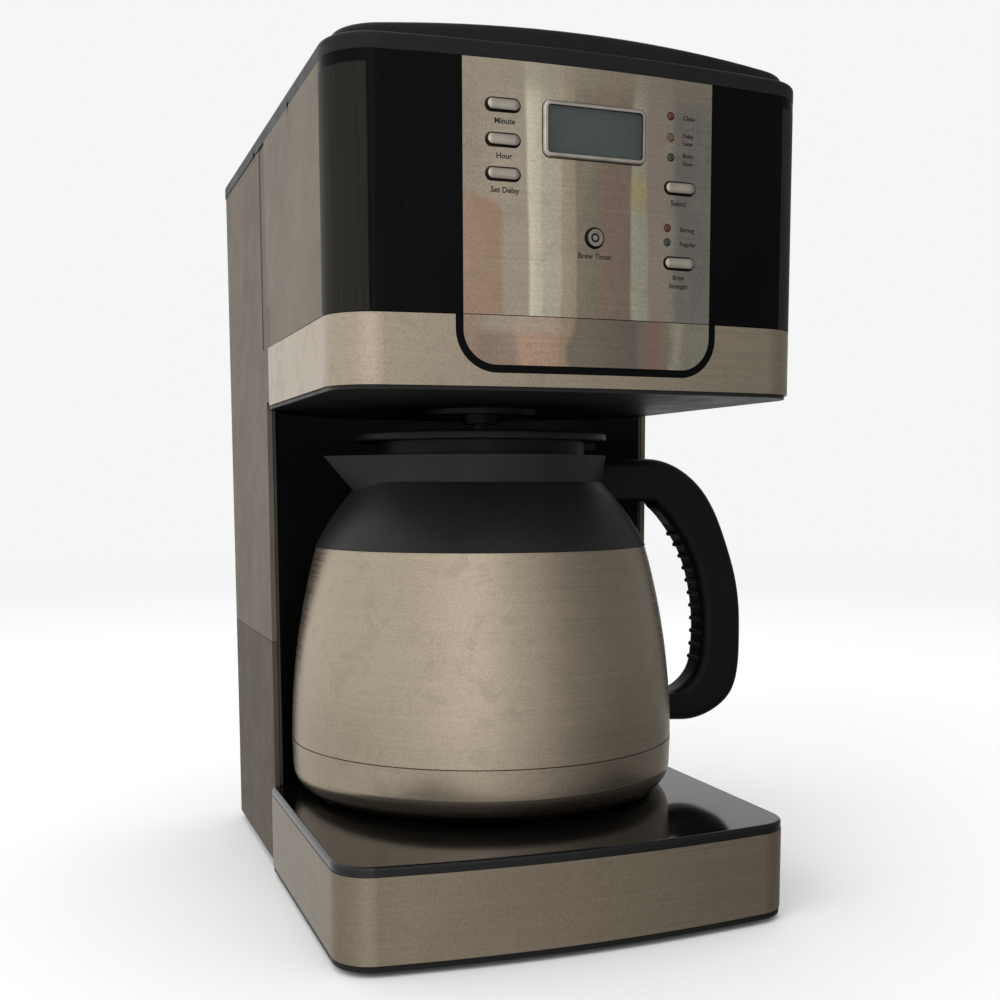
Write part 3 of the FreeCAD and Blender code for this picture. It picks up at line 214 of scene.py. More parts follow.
    def around(self, x, z):
        """Distance in millimetres from an axis along Y."""
        dx = self.calc("SUBTRACT", self.axis("X"), x)
        dz = self.calc("SUBTRACT", self.axis("Z"), z)
        square = self.calc("ADD", self.calc("MULTIPLY", dx, dx), self.calc("MULTIPLY", dz, dz))
        return self.calc("SQRT", square)

    def bump(self, height, strength, distance):
        """Lifts the surface's shading by a height map."""
        made = self.node("ShaderNodeBump")
        made.inputs["Strength"].default_value = strength
        made.inputs["Distance"].default_value = distance
        self.feed(made.inputs["Height"], height)
        self.set("Normal", made.outputs["Normal"])

    def shades(self, fac, colour, dark, light):
        """A colour that drifts between a darker and a lighter shade of itself."""
        low, high = (tuple(min(1.0, c * k) for c in colour) for k in (dark, light))
        return self.mix(self.spread(fac, 0.0, 1.0), low, high)


# ---------------------------------------------------------------- finishes

DUST = (0.42, 0.39, 0.34)
GLOSS_DUST = (0.34, 0.31, 0.27)
STEEL_SPOT = (0.12, 0.09, 0.06)
SOLDER_MASK = {"Color1": (0.03, 0.2, 0.08), "Color2": (0.02, 0.14, 0.06), "Mortar": (0.07, 0.32, 0.13)}
PAD = (0.6, 0.5, 0.32)
PRINT_AND_GAP_SHADE = (0.02, 0.018, 0.016)       # print, and painted shade in the gaps round plated buttons
BRUSH_LINES = (14.0, 14.0, 3600.0)     # brushing lines per metre along x, y and z
BROAD_LINES = (7.0, 7.0, 720.0)
BRUSH_ANISOTROPY = 0.5
WEAR_LINE = 0.02 * MM                  # depth of brushing and hairline scratches
PILL_LENGTH, PILL_HEIGHT = 13.6, 5.0   # of the five pill buttons
PILL_GAP_SHADE = (0.75, 0.45)                # the painted gap shade starts and is full this far inside the edge
PILL_DOME = -0.1                       # fall of its shading per square millimetre from its middle line
TIMER_PLACE = (0.6, 284.5)             # x and z of the round button
TIMER_RING = (1.0, 1.75)               # radii of its printed ring
TIMER_RIM_SHADE = (3.0, 3.3)                 # painted gap shade darkens it from the first of these radii to the second
PILL_PLACES = {                        # x and z of the pill buttons
    "minute_button": (-36.3, 330.4),
    "hour_button": (-36.3, 317.9),
    "delay_button": (-36.3, 305.6),
    "select_button": (37.4, 305.8),
    "strength_button": (37.4, 277.1),
}
PILL_PLATE = (0.62, 0.56, 0.47)


def moulded(name, colour, rough=(0.42, 0.56), grain=2600.0, depth=0.25, specular=0.4, dust=0.0):
    """Moulded plastic: fine leathery grain, slow changes of tint, worn and dusty patches.

    rough is a range, grain is in features per metre, and depth and dust are strengths from 0 to 1.
    """
    p = Paint(name, Specular_IOR_Level=specular)
    slow = p.noise(22.0, 4.0, 0.6, seed=1.0)
    tint = p.shades(slow, colour, 0.86, 1.12)
    pores = p.spread(p.noise(1500.0, 2.0, 0.7, seed=12.0), 0.72, 1.28)
    tint = p.mix(1.0, tint, p.grey(pores), "MULTIPLY")
    speck = p.ramp(p.noise(900.0, 2.0, 0.5, seed=3.0), (0.66, 0.0), (0.74, 1.0))
    patchy = p.ramp(p.noise(35.0, 3.0, 0.6, seed=5.0), (0.45, 0.0), (0.7, 1.0))
    film = p.calc("MULTIPLY", p.calc("MULTIPLY", speck, patchy), dust)
    p.set("Base Color", p.mix(film, tint, DUST))
    p.set("Roughness", p.spread(p.noise(60.0, 4.0, 0.6, seed=7.0), *rough))
    p.bump(p.noise(grain, 2.0, 0.6, seed=9.0), depth, 0.1 * MM)
    return p.material


def glossy(name, colour, rough=(0.05, 0.13), specular=0.15, dust=0.35, satin=None):
    """High-gloss black: wiped smears, hairline scratches and settled dust.

    satin, if given, says where the gloss gives way to satin, and the colour painted there, a painted
    reflection on the fascia's corners.
    """
    p = Paint(name, Specular_IOR_Level=specular)
    slow = p.noise(14.0, 3.0, 0.6, seed=2.0)
    tint = p.shades(slow, colour, 0.8, 1.3)
    speck = p.ramp(p.cells(420.0, 1.0), (0.06, 1.0), (0.1, 0.0))
    drift = p.ramp(p.noise(26.0, 4.0, 0.65, seed=4.0), (0.5, 0.0), (0.72, 1.0))
    film = p.calc("MULTIPLY", p.calc("MULTIPLY", speck, drift), dust)
    worn = p.mix(film, tint, GLOSS_DUST)
    smear = p.noise((30.0, 30.0, 9.0), 4.0, 0.6, 0.8, seed=6.0)
    dull = p.calc("ADD", p.spread(smear, *rough), p.calc("MULTIPLY", film, 0.4))
    if satin:
        where, shade = satin(p)
        worn = p.mix(where, worn, shade)
        dull = p.calc("ADD", dull, p.calc("MULTIPLY", where, 0.3))
    p.set("Base Color", worn)
    p.set("Roughness", dull)
    hair = p.noise((40.0, 40.0, 900.0), 2.0, 0.5, seed=8.0)
    p.bump(hair, 0.03, WEAR_LINE)
    return p.material


def brushed(name, colour, rough=(0.24, 0.34), stains=0.25, bands=None):
    """Brushed stainless: fine level lines, water marks, specks and slow tarnish.

    bands, if given, is what colours the metal in place of an even colour: painted reflections on the panels
    and the skirt.
    """
    p = Paint(name, Metallic=1.0, Anisotropic=BRUSH_ANISOTROPY)
    tangent = p.node("ShaderNodeTangent", direction_type="RADIAL", axis="Z")
    p.set("Tangent", tangent.outputs["Tangent"])
    line = p.noise(BRUSH_LINES, 3.0, 0.7, seed=1.0)
    broad = p.noise(BROAD_LINES, 2.0, 0.6, seed=2.0)
    streak = p.calc("ADD", p.calc("MULTIPLY", line, 0.6), p.calc("MULTIPLY", broad, 0.4))
    tone = bands(p) if bands else p.mix(0.0, colour, colour)
    shade = p.spread(streak, 0.92, 1.08, 0.36, 0.64)
    grain = p.spread(p.noise(1300.0, 2.0, 0.7, seed=14.0), 0.84, 1.16)
    slow = p.spread(p.noise(11.0, 4.0, 0.6, 0.6, seed=13.0), 0.92, 1.05)
    shade = p.calc("MULTIPLY", p.calc("MULTIPLY", shade, grain), slow)
    tone = p.mix(1.0, tone, p.grey(shade), "MULTIPLY")
    marks = p.ramp(p.noise(48.0, 5.0, 0.7, 0.9, seed=5.0), (0.54, 0.0), (0.6, 1.0), (0.66, 0.25))
    tone = p.mix(p.calc("MULTIPLY", marks, stains), tone, tuple(c * 0.66 for c in colour))
    spots = p.ramp(p.cells(150.0, 3.0), (0.035, 1.0), (0.07, 0.0))
    few = p.ramp(p.noise(30.0, 2.0, 0.5, seed=11.0), (0.52, 0.0), (0.6, 1.0))
    spots = p.calc("MULTIPLY", spots, few)
    p.set("Base Color", p.mix(p.calc("MULTIPLY", spots, 0.75), tone, STEEL_SPOT))
    base = p.spread(streak, *rough, start=0.35, end=0.65)
    p.set("Roughness", p.calc("ADD", base, p.calc("MULTIPLY", marks, 0.2 * stains)))
    p.bump(line, 0.05, WEAR_LINE)
    return p.material


def plain_metal(name, colour, rough=(0.2, 0.34)):
    """Turned, cast or plated metal: cloudy gloss, faint tool marks."""
    p = Paint(name, Metallic=1.0)
    cloud = p.noise(160.0, 4.0, 0.6, seed=1.0)
    tint = p.shades(cloud, colour, 0.78, 1.1)
    p.set("Base Color", tint)
    p.set("Roughness", p.spread(p.noise(420.0, 3.0, 0.6, seed=2.0), *rough))
    p.bump(p.noise((900.0, 900.0, 3000.0), 2.0, 0.5, seed=3.0), 0.06, WEAR_LINE)
    return p.material


def see_through(name, colour, alpha, rough=0.12):
    """Tinted translucent plastic with moulding swirls."""
    p = Paint(name, Roughness=rough, Alpha=alpha)
    swirl = p.noise(18.0, 4.0, 0.6, 1.2, seed=1.0)
    p.set("Base Color", p.shades(swirl, colour, 0.8, 1.2))
    p.set("Roughness", p.spread(p.noise(70.0, 3.0, 0.6, seed=2.0), rough, rough + 0.14))
    p.bump(p.noise(600.0, 2.0, 0.5, seed=3.0), 0.08, 0.05 * MM)
    return p.material


def lens(name, colour):
    """A small tinted light lens with a brighter heart."""
    p = Paint(name, Specular_IOR_Level=0.6, Coat_Weight=0.4)
    heart = p.noise(1500.0, 2.0, 0.5, seed=1.0)
    p.set("Base Color", p.shades(heart, colour, 0.5, 1.6))
    p.set("Roughness", p.spread(p.noise(900.0, 2.0, 0.5, seed=2.0), 0.12, 0.3))
    p.bump(p.noise(2400.0, 2.0, 0.5, seed=3.0), 0.1, 0.03 * MM)
    return p.material


def circuit(name):
    """Green solder mask with tracks under it and tinned pads."""
    p = Paint(name, Specular_IOR_Level=0.5)
    tracks = p.node("ShaderNodeTexBrick")
    p.feed(tracks.inputs["Vector"], p.stretched((420.0, 300.0, 420.0)))
    for socket, colour in SOLDER_MASK.items():
        tracks.inputs[socket].default_value = (*colour, 1.0)
    pads = p.ramp(p.cells(380.0, 2.0), (0.12, 1.0), (0.16, 0.0))
    p.set("Base Color", p.mix(pads, tracks.outputs["Color"], PAD))
    p.set("Roughness", p.spread(p.noise(300.0, 3.0, 0.6, seed=4.0), 0.25, 0.45))
    p.bump(tracks.outputs["Fac"], 0.2, 0.05 * MM)
    return p.material


# ---------------------------------------------------------------- finishes, painted reflections and painted shade that follow the shape

STEEL = (0.5, 0.42, 0.32)
BLACK = (0.009, 0.009, 0.009)
GLOSS_BLACK = (0.0018, 0.0018, 0.0019)
OLIVE_REFLECTION = ((0.013, 0.0125, 0.0105), (0.021, 0.02, 0.017))     # painted reflection: the two shades of the fascia's corners
CREASE = 86.5                # distance of the fascia's fine grooves from the middle
CREASE_SOFT = 0.2
SATIN_FOOT = 249.2           # the satin runs from behind the band's top edge
SATIN_TOP = 342.3            # to just under the deck's rim
PANEL_SIDE = 52.0
SKIRT_SIDE = 102.0

# Painted reflections across the polished panels and the skirt, as colours: (distance from the middle,
# colour).
UPPER_REFLECTIONS = (
    (-52.0, (0.46, 0.39, 0.3)), (-38.0, (0.54, 0.46, 0.36)), (-28.0, (0.54, 0.47, 0.37)),
    (-26.0, (0.96, 0.87, 0.68)), (-22.5, (0.86, 0.78, 0.6)), (-21.0, (0.7, 0.63, 0.5)),
    (-14.5, (0.7, 0.62, 0.48)), (-13.0, (0.58, 0.48, 0.34)), (-8.5, (0.55, 0.45, 0.31)),
    (-6.5, (0.36, 0.31, 0.24)), (3.0, (0.34, 0.29, 0.22)), (5.0, (0.37, 0.27, 0.21)),
    (17.0, (0.36, 0.27, 0.22)), (18.5, (0.62, 0.59, 0.45)), (22.0, (0.6, 0.56, 0.43)),
    (24.0, (0.5, 0.41, 0.34)), (33.0, (0.5, 0.42, 0.35)), (37.0, (0.34, 0.31, 0.28)),
    (52.0, (0.38, 0.35, 0.32)),
)
UPPER_EDGE_REFLECTION = (0.47, 0.41, 0.31)        # painted reflection: the even tone of the panel's top edge
UPPER_EDGE_FADE = (332.0, 342.0)       # it sets in between these heights
COPPER_REFLECTION = (0.5, 0.32, 0.22)             # painted reflection: a patch at the lower left, its top edge sloping
COPPER_X = (-56.0, -37.5)
COPPER_Z = (220.0, 281.0)
COPPER_SLOPE = 0.35
GOLD_REFLECTION = (0.66, 0.55, 0.2)               # painted reflection: a small patch right of the round button
GOLD_X = (17.5, 22.5)
GOLD_Z = (297.0, 309.0)
SMUDGE = (0.66, 0.57, 0.4)

LOWER_REFLECTIONS = (
    (-52.0, (0.46, 0.33, 0.25)), (-42.0, (0.38, 0.28, 0.22)), (-34.0, (0.44, 0.33, 0.26)),
    (-28.0, (0.66, 0.44, 0.32)), (-14.0, (0.62, 0.42, 0.3)), (-8.0, (0.5, 0.36, 0.26)),
    (-6.0, (0.3, 0.25, 0.19)), (16.0, (0.28, 0.23, 0.19)), (20.0, (0.36, 0.29, 0.24)),
    (26.0, (0.46, 0.26, 0.22)), (32.0, (0.42, 0.34, 0.26)), (36.0, (0.64, 0.58, 0.44)),
    (40.0, (0.46, 0.43, 0.34)), (52.0, (0.5, 0.46, 0.37)),
)
LOWER_PALE_REFLECTION = (0.6, 0.54, 0.42)         # painted reflection: a pale strip along the lower panel's top edge, at the left
PALE_X = (-46.0, -12.0)
PALE_FADE = (246.0, 250.0)             # it sets in between these heights

SKIRT_REFLECTIONS = (
    (-102.0, (0.3, 0.25, 0.18)), (-90.0, (0.36, 0.3, 0.22)), (-70.0, (0.41, 0.34, 0.25)),
    (20.0, (0.42, 0.345, 0.255)), (102.0, (0.46, 0.37, 0.275)),
)


def satin_reflection_corners(p):
    """The fascia's wrapped corners are satin outside the fine grooves, with a painted olive grey reflection.
    """
    x = p.calc("ABSOLUTE", p.axis("X"))
    z = p.axis("Z")
    side = p.spread(x, 0.0, 1.0, CREASE - CREASE_SOFT, CREASE + CREASE_SOFT)
    where = p.calc("MULTIPLY", side, p.between(z, SATIN_FOOT, SATIN_TOP, 0.4))
    streak = p.noise((700.0, 700.0, 12.0), 3.0, 0.6, seed=21.0)
    # shade is the painted olive reflection on the corners.
    shade = p.mix(p.spread(streak, 0.0, 1.0), *OLIVE_REFLECTION)
    return where, shade


def panel_reflections(p):
    """Painted reflections on the polished upper panel: warm upright bands and patches."""
    wander = p.spread(p.noise((60.0, 60.0, 8.0), 2.0, 0.5, seed=31.0), -2.5, 2.5)
    x = p.calc("ADD", p.axis("X"), wander)
    z = p.axis("Z")
    across = p.bands(x, -PANEL_SIDE, PANEL_SIDE, *UPPER_REFLECTIONS)
    # top fades in the painted reflection along the panel's top edge.
    top = p.spread(z, 0.0, 0.75, *UPPER_EDGE_FADE)
    across = p.mix(top, across, UPPER_EDGE_REFLECTION)
    # patch is the painted copper reflection at the lower left; gold is the painted gold reflection.
    slope = p.calc("ADD", z, p.calc("MULTIPLY", x, COPPER_SLOPE))
    patch = p.calc("MULTIPLY", p.between(x, *COPPER_X, 1.2), p.between(slope, *COPPER_Z, 1.6))
    across = p.mix(p.calc("MULTIPLY", patch, 0.85), across, COPPER_REFLECTION)
    gold_reflection = p.calc("MULTIPLY", p.between(x, *GOLD_X, 1.0), p.between(z, *GOLD_Z, 3.0))
    across = p.mix(p.calc("MULTIPLY", gold_reflection, 0.6), across, GOLD_REFLECTION)
    smudge = p.ramp(p.noise((90.0, 90.0, 40.0), 4.0, 0.6, 0.7, seed=33.0), (0.5, 0.0), (0.66, 1.0))
    return p.mix(p.calc("MULTIPLY", smudge, 0.16), across, SMUDGE)


def low_panel_reflections(p):
    """Painted reflections on the lower panel: warmer, mottled bands and a pale strip."""
    wander = p.spread(p.noise((50.0, 50.0, 30.0), 2.0, 0.5, seed=35.0), -4.0, 4.0)
    x = p.calc("ADD", p.axis("X"), wander)
    across = p.bands(x, -PANEL_SIDE, PANEL_SIDE, *LOWER_REFLECTIONS)
    # pale is the painted reflection strip along the lower panel's top edge.
    pale = p.calc("MULTIPLY", p.between(x, *PALE_X, 4.0), p.spread(p.axis("Z"), 0.0, 0.6, *PALE_FADE))
    return p.mix(pale, across, LOWER_PALE_REFLECTION)


def domed_pill(name, centre, colour):
    """A plated push button: domed by its shading, with painted shade of its gap as a dark line round its
    edge.
    """
    p = Paint(name, Metallic=1.0)
    cloud = p.noise(160.0, 4.0, 0.6, seed=1.0)
    tint = p.shades(cloud, colour, 0.85, 1.1)
    straight = (PILL_LENGTH - PILL_HEIGHT) / 2
    x, z = centre
    dx = p.calc("SUBTRACT", p.calc("ABSOLUTE", p.calc("SUBTRACT", p.axis("X"), x)), straight)
    dx = p.calc("MAXIMUM", dx, 0.0)
    dz = p.calc("SUBTRACT", p.axis("Z"), z)
    away = p.calc("SQRT", p.calc("ADD", p.calc("MULTIPLY", dx, dx), p.calc("MULTIPLY", dz, dz)))
    # edge is painted shade: the gap round the button drawn as a dark line.
    edge = p.spread(away, 0.0, 1.0, *(PILL_HEIGHT / 2 - inside for inside in PILL_GAP_SHADE))
    p.set("Base Color", p.mix(edge, tint, PRINT_AND_GAP_SHADE))
    p.set("Roughness", p.spread(p.noise(420.0, 3.0, 0.6, seed=2.0), 0.16, 0.28))
    lift = p.calc("MULTIPLY", p.calc("MULTIPLY", away, away), PILL_DOME)
    p.bump(lift, 1.0, 1.0 * MM)
    return p.material


def badge(name, colour):
    """The round button: satin plating with a dark printed ring, and painted gap shade darkening its rim."""
    p = Paint(name, Metallic=1.0)
    cloud = p.noise(160.0, 4.0, 0.6, seed=1.0)
    tint = p.shades(cloud, colour, 0.8, 1.1)
    away = p.around(*TIMER_PLACE)
    # ring holds the printed ring and the painted gap shade at the rim.
    ring = p.calc("MAXIMUM", p.between(away, *TIMER_RING, 0.1), p.spread(away, 0.0, 1.0, *TIMER_RIM_SHADE))
    p.set("Base Color", p.mix(ring, tint, PRINT_AND_GAP_SHADE))
    p.set("Roughness", p.spread(p.noise(420.0, 3.0, 0.6, seed=2.0), 0.22, 0.36))
    p.bump(p.noise(900.0, 2.0, 0.5, seed=3.0), 0.05, WEAR_LINE)
    return p.material


def skirt_reflections(p):
    """Painted reflection on the skirt: duller where it wraps round to the left side."""
    return p.bands(p.axis("X"), -SKIRT_SIDE, SKIRT_SIDE, *SKIRT_REFLECTIONS)


# One finish for each material slot of the CAD's pieces.
FINISHES = {
    "gloss_black": glossy("gloss_black_shell", GLOSS_BLACK, specular=0.07, satin=satin_reflection_corners),
    "black_plastic": moulded("black_moulded", BLACK, (0.36, 0.5), specular=0.2, dust=0.06),
    "black_fitting": moulded("black_fitting", BLACK, (0.3, 0.46), 1800.0, specular=0.25, dust=0.05),
    "grey_plastic": moulded("grey_moulded", (0.158, 0.132, 0.102), (0.44, 0.56), 2600.0, 0.3, 0.12, 0.15),
    "brushed_steel": brushed("steel_brushed", STEEL),
    "chrome": plain_metal("chrome_plate", (0.62, 0.57, 0.5), (0.08, 0.18)),
    "button_satin": plain_metal("button_plate", (0.46, 0.41, 0.34), (0.2, 0.32)),
    "steel_hardware": plain_metal("steel_hardware", (0.5, 0.5, 0.49), (0.3, 0.45)),
    "display_glass": see_through("display_glass", (0.05, 0.062, 0.058), 0.86, 0.07),
    "display_module": moulded("display_module", (0.05, 0.065, 0.06), (0.2, 0.3), 1200.0),
    "circuit_board": circuit("circuit_board"),
    "switch_plastic": moulded("switch_plastic", (0.03, 0.03, 0.03), (0.3, 0.45)),
    "led_red": lens("led_red", (0.075, 0.006, 0.008)),
    "led_amber": lens("led_amber", (0.09, 0.05, 0.014)),
    "led_green": lens("led_green", (0.012, 0.026, 0.013)),
    "tank_plastic": see_through("tank_plastic", (0.16, 0.16, 0.165), 0.55, 0.2),
    "soft_rubber": moulded("soft_rubber", (0.005, 0.005, 0.005), (0.5, 0.68), 3200.0, 0.3, 0.2),
    "silicone": see_through("silicone_tube", (0.5, 0.49, 0.46), 0.9, 0.35),
    "cast_aluminium": plain_metal("cast_aluminium", (0.6, 0.6, 0.61), (0.4, 0.6)),
    "element_steel": plain_metal("element_steel", (0.36, 0.34, 0.31), (0.35, 0.5)),
}
# Pieces whose finish differs from the rest of their slot.
SPECIAL = {
    "control_panel": brushed("steel_panel_upper", STEEL, (0.13, 0.2), bands=panel_reflections, stains=0.2),
    "lower_panel": brushed("steel_panel_lower", STEEL, (0.13, 0.2), bands=low_panel_reflections, stains=0.3),
    "base_skirt": brushed("steel_skirt", STEEL, (0.26, 0.36), bands=skirt_reflections),
    # The two tower pieces are darker copies of the grey moulding: painted shade, darkest on the lower piece.
    "tower_lower": moulded("grey_moulded_low_shade", (0.082, 0.063, 0.045), (0.44, 0.56), 2600.0, 0.3, 0.1, 0.15),
    "tower_upper": moulded("grey_moulded_rear_shade", (0.125, 0.1, 0.076), (0.44, 0.56), 2600.0, 0.3, 0.12, 0.15),
    "timer_button": badge("badge_plate", (0.46, 0.42, 0.36)),
    "rest_plate": glossy("gloss_black_plate", GLOSS_BLACK, (0.04, 0.1), 0.5, 0.1),
    "bay_wall": moulded("black_bay", (0.034, 0.034, 0.033), (0.32, 0.46), specular=0.3, dust=0.04),
    "head_floor": moulded("black_underside", (0.014, 0.014, 0.0138), (0.36, 0.5), specular=0.25, dust=0.05),
    "carafe_collar": moulded("black_collar", (0.016, 0.016, 0.0155), (0.36, 0.5), specular=0.3, dust=0.06),
    "carafe_handle": moulded(
        "black_handle", (0.0035, 0.0035, 0.0036), (0.34, 0.46), specular=0.15, dust=0.05),
}

for button, centre in PILL_PLACES.items():
    SPECIAL[button] = domed_pill(button + "_plate", centre, PILL_PLATE)

SLOT_OF = {row["node"]: row["material_slot"] for row in frame["record"]["subparts"]}


def dress(node, material):
    """Gives every material slot of a CAD node's object one finish."""
    mesh = NODES[node].data
    mesh.materials.clear()
    mesh.materials.append(material)


for node in NODES:
    dress(node, SPECIAL.get(node, FINISHES[SLOT_OF[node]]))

# ---------------------------------------------------------------- the drip stop's spring

spring = bpy.data.objects.new("return_spring", NODES["valve_spring"].data.copy())
bpy.context.scene.collection.objects.link(spring)
spring.matrix_world = NODES["valve_spring"].matrix_world.copy()
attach(spring, "machine")
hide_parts("valve_spring")
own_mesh(spring)

# ---------------------------------------------------------------- printed labels

HEAD_FRONT = -130.0          # y of the bowed head's front at its middle
HEAD_BOW = 680.0             # radius of the bow
INK_PROUD = 0.05
INK_SPREAD = 0.07            # how much each stroke is thickened
WELD = 0.001                 # letter corners this close become one
# The words, the x and z of their middle, and the letters' size.
LABELS = (
    ("Minute", -35.6, 324.6, 2.9),
    ("Hour", -35.9, 312.1, 2.9),
    ("Set Delay", -35.6, 299.8, 2.9),
    ("Clean", 41.4, 332.6, 2.4),
    ("Delay", 41.0, 325.9, 2.2),
    ("Later", 41.0, 323.0, 2.2),
    ("Brew", 41.0, 318.4, 2.2),
    ("Now", 41.0, 315.4, 2.2),
    ("Select", 37.0, 300.0, 2.9),
    ("Strong", 41.0, 290.2, 2.4),
    ("Regular", 41.4, 284.7, 2.4),
    ("Brew", 37.4, 271.6, 2.5),
    ("Strength", 37.4, 268.3, 2.5),
    ("Brew Timer", 0.8, 277.6, 2.9),
)


def panel_y(x):
    """The y of the bowed panel's face at a distance x from the middle."""
    return HEAD_FRONT + HEAD_BOW - math.sqrt(HEAD_BOW ** 2 - x ** 2)


def label(index, words, x, z, size, ink):
    """Words printed on the panel, as thin raised letters that follow its bow."""
    text = bpy.data.curves.new("words", "FONT")
    text.body = words
    text.size = size * MM
    text.align_x = "CENTER"
    text.align_y = "CENTER"
    text.extrude = INK_PROUD * MM / 2
    text.offset = INK_SPREAD * MM
    text.resolution_u = 3
    holder = bpy.data.objects.new("words", text)
    bpy.context.scene.collection.objects.link(holder)
    evaluated = holder.evaluated_get(bpy.context.evaluated_depsgraph_get())
    mesh = bpy.data.meshes.new_from_object(evaluated)
    bpy.data.objects.remove(holder)
    letters = bmesh.new()
    letters.from_mesh(mesh)
    bmesh.ops.remove_doubles(letters, verts=letters.verts, dist=WELD * MM)
    for vert in letters.verts:
        across, up, out = vert.co / MM
        far = x + across
        vert.co = machine(far, panel_y(far) - INK_PROUD / 2 - out, z + up)
    letters.to_mesh(mesh)
    letters.free()
    mesh.materials.clear()
    mesh.materials.append(ink)
    made = bpy.data.objects.new(f"print_{index:02d}", mesh)
    bpy.context.scene.collection.objects.link(made)
    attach(made, "machine")


INK = moulded("panel_ink", (0.03, 0.025, 0.02), (0.5, 0.7), 1800.0, 0.2, 0.2)
for index, (words, x, z, size) in enumerate(LABELS):
    label(index, words, x, z, size, INK)

# ---------------------------------------------------------------- stage, light, camera

# Lengths of the stage and places of the lights are in metres.
CENTRE = (CAD_BOX[0] + CAD_BOX[1]) / 2
STAGE_RADIUS = 3.0
STAGE_FADE = (1.1, 2.85)     # the floor fades into the background between these distances
STAGE_STEPS = 96
FLOOR_GREYS = ((0.9, 0.9, 0.9), (0.93, 0.93, 0.93))
LIGHTS = (                   # name, place, width and depth, power in watts
    ("key_left", (-1.5, -0.9, 1.3), (1.1, 1.2), 10.0),
    ("overhead", (0.1, 0.1, 1.9), (1.8, 1.8), 10.0),
)
BACKGROUND = 0.921           # what the camera sees behind the object
SOFT_STRENGTH = 1.05

# Brightness of the mirrored surroundings, by degrees from the front towards the right.
AROUND = (
    (-180, 0.9), (-160, 0.88), (-109, 0.8), (-60, 0.82), (-27, 1.04), (-19, 1.0), (-16, 1.3), (-11, 0.8),
    (10, 0.6), (19, 0.54), (28, 0.38), (40, 0.27), (71, 0.2), (120, 0.24), (140, 0.7), (180, 0.9),
)
# Brightness by height, from straight down (0) to straight up (1): mirrored, and as soft light.
MIRRORED_BY_HEIGHT = ((0.0, 0.45), (0.4, 0.75), (0.5, 1.0), (0.7, 1.0), (1.0, 1.0))
SOFT_BY_HEIGHT = ((0.0, 0.5), (0.5, 0.85), (1.0, 1.0))
# Soft light from the left (0) to the right (1).
SOFT_BY_SIDE = ((0.0, 1.0), (0.45, 0.95), (1.0, 0.6))

floor_mesh = bpy.data.meshes.new("floor")
shape = bmesh.new()
bmesh.ops.create_circle(shape, cap_ends=True, segments=STAGE_STEPS, radius=STAGE_RADIUS)
shape.to_mesh(floor_mesh)
shape.free()
floor = bpy.data.objects.new("floor", floor_mesh)
bpy.context.scene.collection.objects.link(floor)
floor.visible_glossy = False
pale = Paint("pale_floor", Specular_IOR_Level=0.0)
pale.set("Base Color", pale.mix(pale.noise(3.0, 4.0, 0.6), *FLOOR_GREYS))
pale.set("Roughness", pale.spread(pale.noise(8.0, 3.0, 0.6), 0.7, 0.85))
length = pale.node("ShaderNodeVectorMath", operation="LENGTH")
pale.feed(length.inputs[0], pale.place)
pale.set("Alpha", pale.spread(length.outputs["Value"], 1.0, 0.0, *STAGE_FADE))
floor_mesh.materials.append(pale.material)


def softbox(name, place, size, power):
    """A rectangular light that faces the object and isn't mirrored in it."""
    light = bpy.data.lights.new(name, "AREA")
    light.shape = "RECTANGLE"
    light.size, light.size_y = size
    light.energy = power
    lamp = bpy.data.objects.new(name, light)
    bpy.context.scene.collection.objects.link(lamp)
    lamp.location = place
    lamp.rotation_euler = (CENTRE - Vector(place)).to_track_quat("-Z", "Y").to_euler()
    lamp.visible_glossy = False


for row in LIGHTS:
    softbox(*row)

world = bpy.data.worlds.new("studio")
bpy.context.scene.world = world
world.use_nodes = True
sky = world.node_tree
for made in list(sky.nodes):
    sky.nodes.remove(made)


def sky_node(kind, **fields):
    """A new node of the surroundings with some of its fields set."""
    made = sky.nodes.new(kind)
    for field, value in fields.items():
        setattr(made, field, value)
    return made


def sky_ramp(source, stops):
    """A smooth grey ramp in the surroundings: stops are (position, brightness)."""
    made = sky_node("ShaderNodeValToRGB")
    made.color_ramp.interpolation = "EASE"
    points = made.color_ramp.elements
    while len(points) < len(stops):
        points.new(0.5)
    for point, (position, value) in zip(points, stops):
        point.position = position
        point.color = (value, value, value, 1.0)
    sky.links.new(source, made.inputs["Fac"])
    return made.outputs["Color"]


def sky_range(source, low, high):
    """The source from low to high, mapped to 0 to 1."""
    made = sky_node("ShaderNodeMapRange")
    made.inputs["From Min"].default_value = low
    made.inputs["From Max"].default_value = high
    sky.links.new(source, made.inputs["Value"])
    return made.outputs["Result"]


def sky_times(a, b):
    """The product of two greys."""
    made = sky_node("ShaderNodeMix", data_type="RGBA", blend_type="MULTIPLY")
    made.inputs["Factor"].default_value = 1.0
    sky.links.new(a, made.inputs[6])
    sky.links.new(b, made.inputs[7])
    return made.outputs[2]


direction = sky_node("ShaderNodeTexCoord")
split = sky_node("ShaderNodeSeparateXYZ")
sky.links.new(direction.outputs["Generated"], split.inputs["Vector"])
front = sky_node("ShaderNodeMath", operation="MULTIPLY")
front.inputs[1].default_value = -1.0
sky.links.new(split.outputs["Y"], front.inputs[0])
angle = sky_node("ShaderNodeMath", operation="ARCTAN2")
sky.links.new(split.outputs["X"], angle.inputs[0])
sky.links.new(front.outputs["Value"], angle.inputs[1])
turn = sky_range(angle.outputs["Value"], -math.pi, math.pi)
height = sky_range(split.outputs["Z"], -1.0, 1.0)

ring = sky_ramp(turn, [((degrees + 180) / 360, value) for degrees, value in AROUND])
tall = sky_ramp(height, MIRRORED_BY_HEIGHT)
mirrored_light = sky_node("ShaderNodeBackground")
sky.links.new(sky_times(ring, tall), mirrored_light.inputs["Color"])

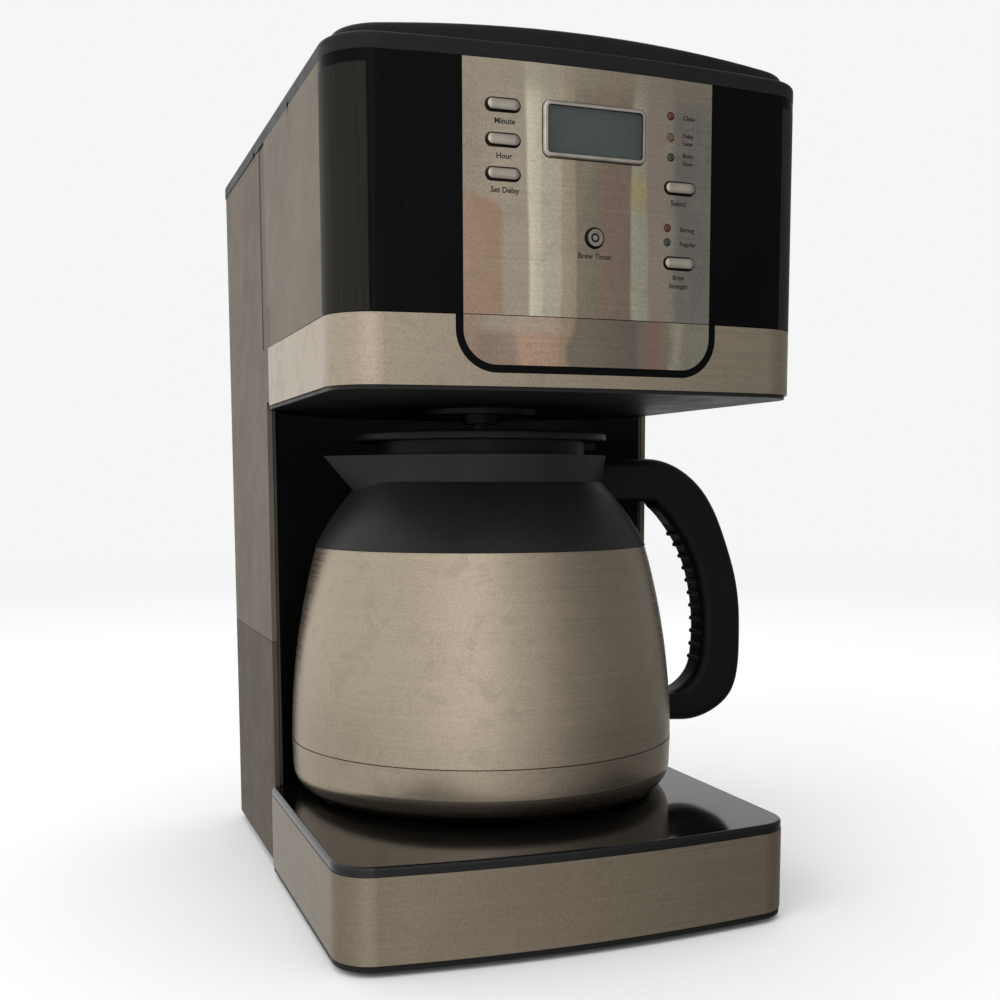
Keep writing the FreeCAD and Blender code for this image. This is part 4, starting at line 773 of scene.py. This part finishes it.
side_light = sky_ramp(sky_range(split.outputs["X"], -1.0, 1.0), SOFT_BY_SIDE)
high_light = sky_ramp(height, SOFT_BY_HEIGHT)
soft_light = sky_node("ShaderNodeBackground")
soft_light.inputs["Strength"].default_value = SOFT_STRENGTH
sky.links.new(sky_times(side_light, high_light), soft_light.inputs["Color"])

seen = sky_node("ShaderNodeBackground")
seen.inputs["Color"].default_value = (BACKGROUND, BACKGROUND, BACKGROUND, 1.0)
ray = sky_node("ShaderNodeLightPath")
by_gloss = sky_node("ShaderNodeMixShader")
sky.links.new(ray.outputs["Is Glossy Ray"], by_gloss.inputs["Fac"])
sky.links.new(soft_light.outputs["Background"], by_gloss.inputs[1])
sky.links.new(mirrored_light.outputs["Background"], by_gloss.inputs[2])
by_camera = sky_node("ShaderNodeMixShader")
sky.links.new(ray.outputs["Is Camera Ray"], by_camera.inputs["Fac"])
sky.links.new(by_gloss.outputs["Shader"], by_camera.inputs[1])
sky.links.new(seen.outputs["Background"], by_camera.inputs[2])
out = sky_node("ShaderNodeOutputWorld")
sky.links.new(by_camera.outputs["Shader"], out.inputs["Surface"])

CAMERA_PLACE = machine(-204.77, -583.67, 191.04)
CAMERA_YAW = math.radians(20.14)      # from +Y towards +X
CAMERA_PITCH = math.radians(6.14)     # below the horizon
CAMERA_ROLL = math.radians(-0.17)
CAMERA_SENSOR = 36.0                  # millimetres, as the lens
CAMERA_LENS = 45.5
CAMERA_SHIFT = 0.12                   # of the picture's width, upwards
CAMERA_NEAR = 0.02                    # metres

lens_data = bpy.data.cameras.new("camera")
lens_data.sensor_width = CAMERA_SENSOR
lens_data.lens = CAMERA_LENS
lens_data.shift_y = CAMERA_SHIFT
lens_data.clip_start = CAMERA_NEAR
camera = bpy.data.objects.new("camera", lens_data)
bpy.context.scene.collection.objects.link(camera)
upright = Matrix.Rotation(math.pi / 2 - CAMERA_PITCH, 4, "X")
turned = Matrix.Rotation(-CAMERA_YAW, 4, "Z")
rolled = Matrix.Rotation(CAMERA_ROLL, 4, "Z")
camera.matrix_world = Matrix.Translation(CAMERA_PLACE) @ turned @ upright @ rolled
bpy.context.scene.camera = camera

bpy.context.scene.view_settings.view_transform = "Standard"
